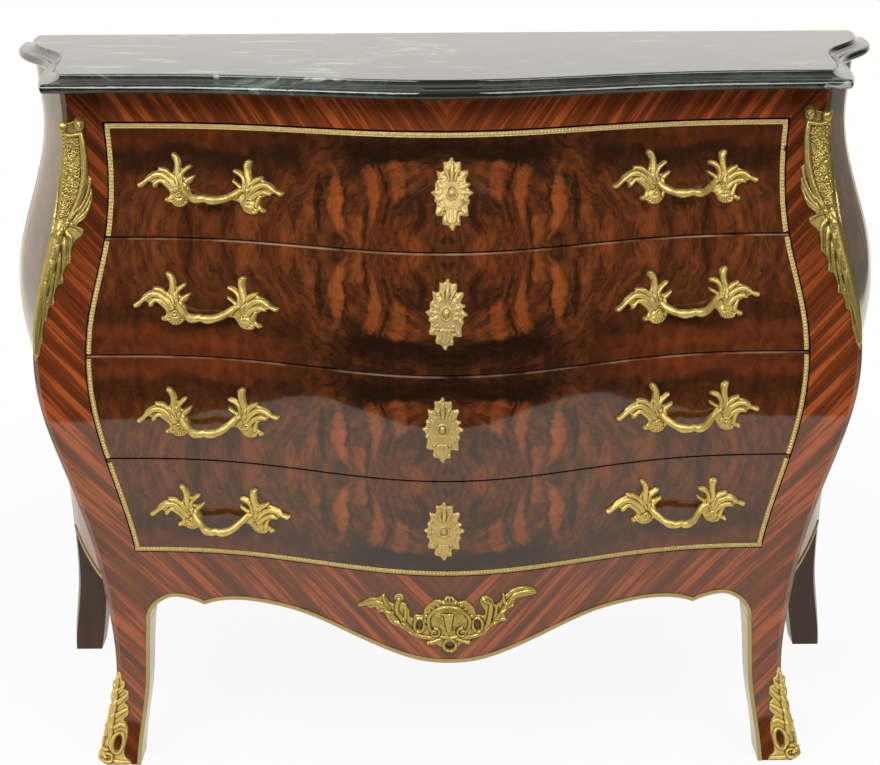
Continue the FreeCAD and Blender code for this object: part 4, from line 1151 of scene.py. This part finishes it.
CHUTE_ARRIS_TOP = 819       # the side's half and the arris itself end at this height
CHUTE_ARRIS_WIDTH = 4


def draw_chute():
    """A leaf below a sunk panel of little scrolls, with a rim beside it and a cornice above."""
    relief = Relief(*CHUTE_SHEET, RELIEF_STEP, mirrored=CHUTE_SIDE_WIDTH)
    relief.plate(CHUTE, 1.8, 1.4)
    heights, reaches = np.array(CHUTE_PANEL_EDGE)[::-1].T
    panel = relief.across < np.interp(relief.up, heights, reaches, 0, 0)
    relief.height = np.where(panel & (relief.height > 0), CHUTE_PANEL_RISE, relief.height)
    dots = random.Random(7)
    for _ in range(CHUTE_SCROLLS):
        z = dots.uniform(708, 802)
        x = dots.uniform(1.5, max(float(np.interp(z, heights, reaches)) - 3, 2))
        radius, rise = dots.uniform(2.4, 3.6), dots.uniform(1.8, 2.6)
        start, sweep = dots.uniform(0, FULL_TURN), dots.uniform(4.0, 6.0)
        relief.stroke(arc(x, z, radius, radius, 1.1, rise, start, sweep, 8))
        relief.spot(x, z, 1.3, rise)
    relief.raise_on(*CHUTE_RIDGES, CHUTE_RIM, CHUTE_STEM)
    relief.beads(((0.6, 708, 2, 5), (0.6, 802, 2, 5)), 1.8, 2.4, 4.6)
    relief.dome(0.6, 814, 7, 8.6, 7.6)
    relief.dome(22, 817, 7, 9, 6.4)
    relief.stroke(CHUTE_CORNICE)
    relief.stroke(spiral(21.6, 817, 6, 2, -60, 1.1, 1.8, 7.2))
    for x in CHUTE_FLUTES:
        relief.carve(((x, 824, 1.3, 1.8), (x, 809, 1.5, 1.8)))
    on_side = (relief.xs < 0) & (relief.height > 0)
    relief.height = np.where(on_side, relief.height * CHUTE_SIDE_RISE, relief.height)
    relief.height[(relief.xs < CHUTE_ARRIS_WIDTH) & (relief.up > CHUTE_ARRIS_TOP)] = NO_METAL
    return relief


# Half of a foot mount, unrolled as a corner mount is. Above a start it is drawn out.
SABOT_STRETCH = 1.14
SABOT_STRETCH_START = 45
SABOT = ((-3, 106.5), (3, 106), (5, 100), (9, 97), (8.6, 90), (14, 87), (15.4, 79), (11.6, 74), (17.4, 69),
         (18.6, 60), (14.6, 55), (20.6, 50), (24, 39), (25, 27), (23.6, 15), (26, 9), (31, 6), (31, -2),
         (-3, -2))
SABOT_RIDGES = (
    ((1, 84, 2.4, 2.2), (5, 90, 2.6, 2.6), (8, 95, 1.8, 2)),
    ((2, 72, 2.6, 2.4), (8, 79, 2.8, 2.8), (13.4, 84, 2, 2.2)),
    ((3, 58, 2.6, 2.4), (10, 64, 2.8, 2.8), (16.4, 67, 2.2, 2.4)),
    ((5, 46, 2.6, 2.4), (12, 50, 2.8, 2.8), (18.6, 48, 2.4, 2.4)),
)
SABOT_SPINE = ((0, 111, 2, 3), (0, 90, 2.8, 4), (0.6, 62, 3.2, 4.4), (2, 44, 3.2, 4.4), (4, 34, 2.6, 3.6))
SABOT_SOLE = ((12, 5, 3.4, 5.4), (20, 4, 3.4, 5.4), (29, 4, 2.8, 4.4))


def draw_sabot():
    """A spray of leaves over a pierced ring and a scrolled sole."""
    relief = Relief(*SABOT_SHEET, RELIEF_STEP, mirrored=1.0)
    relief.plate(stretched(SABOT, SABOT_STRETCH, SABOT_STRETCH_START), 2.8, 1.6)
    relief.raise_on(*(stretched(ridge, SABOT_STRETCH, SABOT_STRETCH_START) for ridge in SABOT_RIDGES))
    relief.raise_on(SABOT_SPINE)
    relief.stroke(arc(14, 27, 7.4, 12.4, 3, 6))
    relief.stroke(spiral(4, 10, 8, 2.4, 100, 1.3, 3, 7.4))
    relief.stroke(SABOT_SOLE)
    relief.hole(14, 27, 3.8, 8.4)
    return relief


# The apron's mount: outlines in x and height.
APRON_LEFT = ((-19.4, 194), (-24.6, 196.6), (-24, 202), (-30, 203), (-38.9, 206.2), (-47.8, 213),
              (-58.3, 218.4), (-67.3, 220.4), (-72.4, 226.6), (-77.7, 237.6), (-84.4, 236.4), (-88.2, 243),
              (-92.7, 240), (-98.7, 243), (-107.8, 242), (-109, 246.4), (-101.6, 250.4), (-94.2, 255.4),
              (-84.2, 257), (-77.7, 263.4), (-73.2, 257.8), (-70.3, 252.2), (-65.8, 250.6), (-63.3, 255),
              (-65.4, 260), (-62, 264.6), (-56, 264.6), (-52.4, 259.6), (-56, 254), (-50.4, 250),
              (-46.4, 242), (-46.3, 235), (-43, 231), (-41, 236), (-36, 237), (-29, 234), (-14, 214),
              (-10, 200))
APRON_RIGHT = ((22.4, 195), (28.4, 198), (26.9, 204), (38.9, 207.6), (49.3, 218.4), (59.8, 225),
               (71.4, 226), (67.3, 234.8), (68.8, 242), (78.4, 245.4), (79.6, 253.6), (86.7, 256.4),
               (97.2, 257.2), (106, 259), (104.4, 266.4), (92.7, 270.8), (83.7, 271), (76.2, 268),
               (68.8, 262), (65, 266.4), (62.8, 256), (59.8, 250.4), (55.6, 250.4), (52.8, 258.4),
               (46.3, 262.4), (39.6, 261), (37.4, 254.6), (40.6, 247), (43.6, 241), (42.4, 235), (36, 237),
               (30, 234), (16, 214), (14, 200))
APRON_SHIELD = ((-27, 212), (-31, 224), (-30.4, 236), (-28.6, 246.6), (-21, 255), (-13.5, 259.4), (-7, 258),
                (-4.5, 262.8), (1.5, 264.4), (8.2, 261.4), (12, 256.6), (20.9, 257.6), (28.8, 251),
                (32.5, 242), (33.6, 232), (32, 220), (28, 210), (22, 200), (13.5, 195), (9.6, 187),
                (1.5, 183.6), (-6, 190), (-13.5, 195), (-20, 200))
APRON_TUBE = (
    (-14, 213, 2, 5.4), (-20, 215, 2.4, 6), (-23.6, 225, 2.8, 6.4), (-22.6, 236.6, 3, 6.8),
    (-15, 245.8, 3, 7), (-3, 250.6, 3, 7), (9, 249, 3, 7), (20, 241, 3, 6.8),
    (25.4, 229.5, 2.8, 6.4), (22.4, 217, 2.4, 6), (15, 213, 2, 5.4))
APRON_RIDGES = (
    ((-18, 205.6, 2.4, 2.4), (-31, 206.8, 2.8, 3), (-42, 212, 3, 3.2), (-50, 222, 3, 3), (-57, 234, 3, 3),
     (-62, 244, 2.6, 2.8), (-59, 258, 2.8, 3)),
    ((-44, 211, 2.4, 2.2), (-56, 221, 2.8, 2.8), (-66, 233, 3, 3), (-75, 245, 3, 3), (-84, 251, 2.8, 2.8),
     (-96, 248.4, 2.4, 2.4), (-107, 244.6, 2.6, 2.4)),
    ((-52, 224, 2, 2), (-62, 226.6, 2.2, 2.2), (-69, 226, 1.8, 2)),
    ((-66, 238, 2, 2), (-75, 240.4, 2.2, 2.2), (-83, 239, 1.6, 2)),
    ((-70, 244, 2, 2), (-75, 252, 2.2, 2.4), (-77.4, 260, 1.6, 2)),
    ((-52, 229, 2, 2), (-51, 238, 2, 2.2), (-51.6, 246, 1.8, 2)),
    ((18, 205.6, 2.4, 2.4), (31, 207.4, 2.8, 3), (41, 213, 3, 3.2), (47, 224, 3, 3), (50, 238, 3, 3),
     (50, 252, 2.6, 2.8), (42.6, 257.6, 3, 3)),
    ((42, 212, 2.4, 2.2), (53, 224, 2.8, 2.8), (62, 238, 3, 3), (70, 250, 3, 3), (80, 261.6, 2.8, 2.8),
     (92, 264.4, 2.6, 2.6), (103, 262.6, 2.8, 2.6)),
    ((55, 224.6, 2, 2), (63, 228, 2.2, 2.2), (69.6, 227.6, 1.8, 2)),
    ((62, 239, 2, 2), (70, 243.6, 2.2, 2.2), (77, 247, 1.8, 2)),
    ((68, 249, 2, 2), (66, 256, 2.2, 2.4), (65.2, 263.6, 1.6, 2)),
    ((55, 231, 2, 2), (57, 241, 2, 2.2), (57.6, 248, 1.8, 2)),
)
APRON_MIDDLE = 1.5
# The fan round the shield: reach across, reach up, half width and height of each ray.
FAN_HEART = 227
FAN_RAY = ((25.5, 25.5, 1.7, 1), (28.6, 29, 2.3, 1.7), (31, 32, 1.8, 1))
# The palmette on top of the shield, its leaves given in the same way.
PALMETTE_HEART = 252
PALMETTE_TURNS = (-62, -31, 0, 31, 62)      # degrees from upright
PALMETTE_LEAF = ((3, 3, 1.6, 5), (7, 7, 2.4, 6), (9, 10, 2.2, 5))
APRON_DOTS = 110
APRON_WEDGE = ((-6.6, 240.4), (6.6, 240.4), (2.8, 214.6), (-2.2, 214.6))
APRON_SPRIG = ((9, 204, 2.8, 5), (16, 201, 3, 5.2), (22.6, 198.6, 3, 5.4))
APRON_LIP = ((-9, 207.6, 2.6, 5), (1.5, 205.6, 2.8, 5.6), (11, 207.6, 2.6, 5))


def rays_from(heart, over, up, rows):
    """Rows for a stroke away from a point above the apron's middle, over and up its direction."""
    return [(APRON_MIDDLE + reach_over * over, heart + reach_up * up, width, rise)
            for reach_over, reach_up, width, rise in rows]


def draw_apron_mount():
    """A shield in a fan, with a palmette above, a pierced ring below and leaves on both sides."""
    relief = Relief(*APRON_SHEET, RELIEF_STEP)
    for outline, rise in ((APRON_LEFT, 2.8), (APRON_RIGHT, 2.8), (APRON_SHIELD, 3)):
        relief.plate(outline, rise, 1.6)
    relief.raise_on(*APRON_RIDGES)
    for turn in np.linspace(1.06, -0.06, 15) * math.pi:
        relief.raise_on(rays_from(FAN_HEART, math.cos(turn), math.sin(turn), FAN_RAY))
    relief.stroke(APRON_TUBE)
    for turn in PALMETTE_TURNS:
        up, over = direction(turn)
        relief.stroke(rays_from(PALMETTE_HEART, over, up, PALMETTE_LEAF))
    dots = random.Random(5)
    for _ in range(APRON_DOTS):
        turn, reach = dots.uniform(0, FULL_TURN), dots.uniform(8, 18)
        relief.spot(APRON_MIDDLE + reach * math.cos(turn), 228 + reach * math.sin(turn), 1.3,
                    dots.uniform(3.8, 4.8))
    relief.plate(APRON_WEDGE, 6, 1.2, smooth=False)
    for side in (-1, 1):
        relief.stroke(arc(side * 35, 223, side * 5.8, 9.6, 2.8, 5.4, points=13))
        relief.stroke(spiral(side * 16.4, 213.4, 6.6, 2, 90, side * 1.2, 2.4, 6.4))
        relief.stroke(sided(side, APRON_SPRIG))
        relief.spot(side * 24, 198.6, 3.4, 6)
        relief.hole(side * 34.6, 223, 2.7, 6.2, side * 12)
    relief.stroke(arc(APRON_MIDDLE, 195.4, 7.2, 7.6, 2.7, 5.6))
    relief.stroke(APRON_LIP)
    relief.hole(APRON_MIDDLE, 195.4, 4.2, 4.6)
    return relief


# ---------------------------------------------------------------- the beaded strips

PACKED_STRIP_WIDTH = 7.5    # of the solid that a strip stands for; all in millimetres
STRIP_HALF_WIDTH = 2.8
STRIP_SHIFT = 0.95          # toward the drawer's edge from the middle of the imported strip
STRIP_STEP = 0.55
STRIP_FLOOR = 0.8           # height of the strip between its beads
STRIP_UNDERSIDE = -0.6
RIM_WIDTH = 0.8
RIM_RISE = 0.7
BEAD_RADIUS = 1.9
BEAD_RISE = 2.3
BEAD_PITCH = 4.0
BEAD_LINES = 1.7            # the lengthwise lines that carry the beads lie this far out
MITRE_REACH = 4             # a side's strip stops this far short of the level strip's middle


def strip_height(run, across):
    """Height over the drawer front of a strip with two rims and a row of beads between."""
    off_rim = np.abs(np.abs(across) - (STRIP_HALF_WIDTH - RIM_WIDTH / 2))
    rim = np.clip(1 - off_rim / (RIM_WIDTH / 2), 0, 1)
    place = (run + BEAD_PITCH / 2) % BEAD_PITCH - BEAD_PITCH / 2
    bead = BEAD_RISE * rounded(np.hypot(place, across) / BEAD_RADIUS)
    return np.maximum(STRIP_FLOOR + RIM_RISE * np.sqrt(rim), bead)


def strip_form(corners, skin, shift):
    """A beaded strip on a drawer front; corners are x and z of its middle line, in mm."""
    corners = np.array(corners, float)
    offsets = np.concatenate((np.linspace(-STRIP_HALF_WIDTH, RIM_WIDTH - STRIP_HALF_WIDTH, 3),
                              np.linspace(-BEAD_LINES, BEAD_LINES, 7),
                              np.linspace(STRIP_HALF_WIDTH - RIM_WIDTH, STRIP_HALF_WIDTH, 3)))
    leg = np.diff(corners, axis=0)
    side = np.stack((-leg[:, 1], leg[:, 0]), 1) / np.hypot(*leg.T)[:, None]
    mitre = np.vstack((side[:1], side[:-1] + side[1:], side[-1:]))
    mitre /= np.maximum((mitre ** 2).sum(1), 1e-9)[:, None]
    mitre[1:-1] *= 2
    run_at = run_along(corners)
    run = np.unique(np.concatenate((np.arange(0, run_at[-1], STRIP_STEP), run_at)))
    middle = np.stack([np.interp(run, run_at, corners[:, axis]) for axis in (0, 1)], 1)
    lean = np.stack([np.interp(run, run_at, mitre[:, axis]) for axis in (0, 1)], 1)
    flat = middle[:, None] + (offsets + shift)[None, :, None] * lean[:, None]
    height = strip_height(run[:, None], offsets[None])
    # the low parts between the beads are darkened: patina and painted shade
    hollow = np.clip(0.75 - height / 3, 0, 1)
    flat = np.concatenate((flat[:, :1], flat, flat[:, -1:]), 1)
    hollow = np.concatenate((hollow[:, :1], hollow, hollow[:, -1:]), 1)
    height = np.pad(height, ((0, 0), (1, 1)), constant_values=STRIP_UNDERSIDE)
    points = skin(flat[..., 0].ravel() * MM, flat[..., 1].ravel() * MM, height.ravel() * MM)
    number = np.arange(height.size).reshape(height.shape)
    faces = np.stack((number[:-1, :-1], number[:-1, 1:], number[1:, 1:], number[1:, :-1]), -1)
    return turned_out(points, faces.reshape(-1, 4), hollow.ravel(), skin.outward)


SWEEP = np.arange(0.37, 0.44, 0.0004)       # distances from the middle at which a side strip may lie
SWEEP_RISE = 0.004
SWEEP_START, SWEEP_STOP = 0.0005, 0.0002    # how far inside the strip's ends the first and last lie


def strip_middle(tree, side, low, high):
    """The middle line of a packed side strip, found by level rows of rays, in millimetres."""
    line = []
    for z in np.arange(low + SWEEP_START, high - SWEEP_STOP, SWEEP_RISE):
        hits = [x for x in side * SWEEP if front_hit(tree, x, z) is not None]
        if hits:
            line.append(((hits[0] + hits[-1]) / 2 / MM, z / MM))
    return line


def bead_drawer(number, skin):
    """The strips of one drawer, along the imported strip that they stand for."""
    name = f"drawer_{number}_beading"
    low, high = (corner[2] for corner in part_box(name))
    tree = tree_of(name)
    left, right = (strip_middle(tree, side, low, high) for side in (-1, 1))
    if number == DRAWERS[0]:
        top = high / MM - PACKED_STRIP_WIDTH / 2
        left, right = ([point for point in line if point[1] < top - MITRE_REACH] for line in (left, right))
        path = left + [(left[-1][0], top), (right[-1][0], top)] + right[::-1]
        return strip_form(path, skin, STRIP_SHIFT)
    if number == DRAWERS[-1]:
        base = low / MM + PACKED_STRIP_WIDTH / 2
        left, right = ([point for point in line if point[1] > base + MITRE_REACH] for line in (left, right))
        path = left[::-1] + [(left[0][0], base), (right[0][0], base)] + right
        return strip_form(path, skin, -STRIP_SHIFT)
    return join_forms(strip_form(left, skin, STRIP_SHIFT), strip_form(right, skin, -STRIP_SHIFT))


# ---------------------------------------------------------------- everything in its place

# Each drawer's fittings as they were screwed on by hand: x, z and lean in degrees.
HANDLES = (((-0.274, 0.751, -3.5), (0.278, 0.755, -2)),
           ((-0.282, 0.616, -1), (0.281, 0.619, 0.5)),
           ((-0.284, 0.482, 2.5), (0.284, 0.485, -2)),
           ((-0.276, 0.355, 0.5), (0.275, 0.362, -3.5)))
ROSETTES = ((0.005, 0.753, -1), (-0.002, 0.621, -4), (-0.007, 0.486, -1.5), (-0.006, 0.354, -1.5))
APRON_SHIFT = (-0.001, -0.0025, 0)
# The part of a leg that each of its mounts can reach: lowest, highest, and distance from the arris.
CHUTE_SKIN = (0.536, 0.846, 0.05)
SABOT_SKIN = (0.001, 0.122, 0.036)
CHUTE_LIFTS = {"left": 0.001, "right": 0.009}


def front_skin(name):
    low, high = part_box(name)
    return FrontSkin(name, low[0], low[2], high[0], high[2])


def mount_drawers():
    handle, rosette = draw_handle(), draw_escutcheon()
    for number, handle_spots, rosette_spot in zip(DRAWERS, HANDLES, ROSETTES):
        body = f"drawer_{number}"
        skin = front_skin(f"{body}_front")
        for (word, _), spot in zip(SIDES, handle_spots):
            place = PlacedSkin(skin, *spot)
            form = join_forms(handle.form(place), bail_form(place))
            make_piece(f"{word}_handle_{number}", form, body, f"{body}_{word}_handle", GILT_BRASS)
        form = rosette.form(PlacedSkin(skin, *rosette_spot))
        make_piece(f"rosette_{number}", form, body, f"{body}_escutcheon", ROSETTE_BRASS)
        make_piece(f"beads_{number}", bead_drawer(number, skin), body, f"{body}_beading", STRIP_BRASS)


def mount_carcase():
    form = draw_apron_mount().form(PlacedSkin(front_skin("front_apron"), *APRON_SHIFT))
    make_piece("apron_scroll", form, "carcase", "apron_mount", OLD_BRASS)
    chute, sabot = draw_chute(), draw_sabot()
    for word, side in SIDES:
        form = chute.form(PlacedSkin(CornerSkin(side, *CHUTE_SKIN), 0, CHUTE_LIFTS[word], 0))
        make_piece(f"{word}_chute", form, "carcase", f"{word}_corner_mount", OLD_BRASS)
        form = sabot.form(CornerSkin(side, *SABOT_SKIN))
        make_piece(f"{word}_sabot", form, "carcase", f"{word}_foot_mount", GILT_BRASS)


# ---------------------------------------------------------------- stage and light

FLOOR_REACH = 14.0
FLOOR_FRONT = -1.17         # the pale floor ends this far in front, as a studio's does
FLOOR_GLOW = 0.92           # near the chest; further off it is white
FLOOR_GLOW_EDGE = (1.0, 1.8)
FLOOR_GREY = (0.78, 0.78, 0.78, 1.0)
SHADE_SPREAD = 0.3          # how far out the shades' inner edge moves for each metre behind
SHADE_EDGE = (0.92, 1.15)
SHADE_START = (0.0, 0.4)
SHADES = (0.16, 0.76)       # of the floor left and right of the chest, seen only in its gloss
WARM_ROOM = (1.0, 0.965, 0.90, 1.0)
WARM_FLOOR = (1.0, 0.94, 0.78, 1.0)
ROOM_ONSETS = (-0.55, 0.80)     # where the white begins left and right, 1 being straight behind
ROOM_EDGE = 0.16
ROOM_BEHIND = 0.92
ROOM_ABOVE = 0.40
ROOM_DARK = 0.02
AMBIENT = 0.62
LIGHT_TARGET = (0, 0, 0.5)
LIGHT_SIZE = (1.8, 1.2)
LIGHTS = (("key_light", (-1.5, -2.7, 2.5), 70), ("fill_light", (1.7, -2.6, 2.4), 50))


def ray_kind(graph, *names):
    """1 for rays of the named kinds, 0 for all others."""
    total, *kinds = [graph.wire("ShaderNodeLightPath", {}, f"Is {name} Ray") for name in names]
    for kind in kinds:
        total = graph.larger(total, kind)
    return total


def floor_material():
    """Pale paper that looks white to the camera and still holds the chest's shadow."""
    graph = material_graph("pale_floor")
    x, y, _ = graph.place()
    away = graph.ease(graph.math("SQRT", x * x + y * y), *FLOOR_GLOW_EDGE)
    glow = away * (1.0 - FLOOR_GLOW) + FLOOR_GLOW
    beside = graph.ease(abs(x) - y * SHADE_SPREAD, *SHADE_EDGE) * graph.ease(y, *SHADE_START)
    shade = (x > 0.0) * (SHADES[1] - SHADES[0]) + SHADES[0]
    shade = beside * shade * ray_kind(graph, "Glossy")
    color = graph.mix(ray_kind(graph, "Camera"), WARM_FLOOR, WHITE)
    matt = graph.wire("ShaderNodeBsdfDiffuse", {"Color": FLOOR_GREY})
    light = graph.wire("ShaderNodeEmission", {"Color": color, "Strength": 1.0 - shade})
    seen = ray_kind(graph, "Camera", "Glossy", "Transmission") * glow
    mixed = graph.wire("ShaderNodeMixShader", {0: seen, 1: matt, 2: light})
    graph.node("ShaderNodeOutputMaterial", {"Surface": mixed})
    return graph.owner


def add_floor():
    mesh = bpy.data.meshes.new("floor")
    corners = ((-FLOOR_REACH, FLOOR_FRONT, 0), (FLOOR_REACH, FLOOR_FRONT, 0),
               (FLOOR_REACH, FLOOR_REACH, 0), (-FLOOR_REACH, FLOOR_REACH, 0))
    mesh.from_pydata(corners, [], [(0, 1, 2, 3)])
    mesh.materials.append(floor_material())
    add_object("floor", mesh)


def add_world():
    """White behind and beside the chest, and a dim room in front, as its gloss shows."""
    world = bpy.data.worlds.new("studio")
    graph = Graph(world)
    x, y, z = graph.place("Generated")
    level = graph.larger(graph.math("SQRT", x * x + y * y), 0.01)
    onset = (x < 0.0) * (ROOM_ONSETS[0] - ROOM_ONSETS[1]) + ROOM_ONSETS[1]
    behind = graph.ease(y / level - onset, 0.0, ROOM_EDGE) * ROOM_BEHIND
    above = graph.ease(z, 0.25, 0.60) * ROOM_ABOVE
    room = graph.larger(graph.larger(behind, above), ROOM_DARK)
    seen, soft = ray_kind(graph, "Camera"), ray_kind(graph, "Diffuse")
    room = graph.larger(room * (1.0 - soft) + soft * AMBIENT, seen)
    color = graph.mix(seen, WARM_ROOM, WHITE)
    background = graph.wire("ShaderNodeBackground", {"Color": color, "Strength": room})
    graph.node("ShaderNodeOutputWorld", {"Surface": background})
    bpy.context.scene.world = world


def add_lights():
    for name, place, power in LIGHTS:
        data = bpy.data.lights.new(name, "AREA")
        data.shape = "RECTANGLE"
        data.size, data.size_y = LIGHT_SIZE
        data.energy = power
        lamp = add_object(name, data)
        lamp.location = place
        sight = Vector(LIGHT_TARGET) - Vector(place)
        lamp.rotation_euler = sight.to_track_quat("-Z", "Y").to_euler()


add_camera()
dress_nodes()
mount_drawers()
mount_carcase()
add_floor()
add_world()
add_lights()
bpy.context.scene.view_settings.view_transform = "Standard"
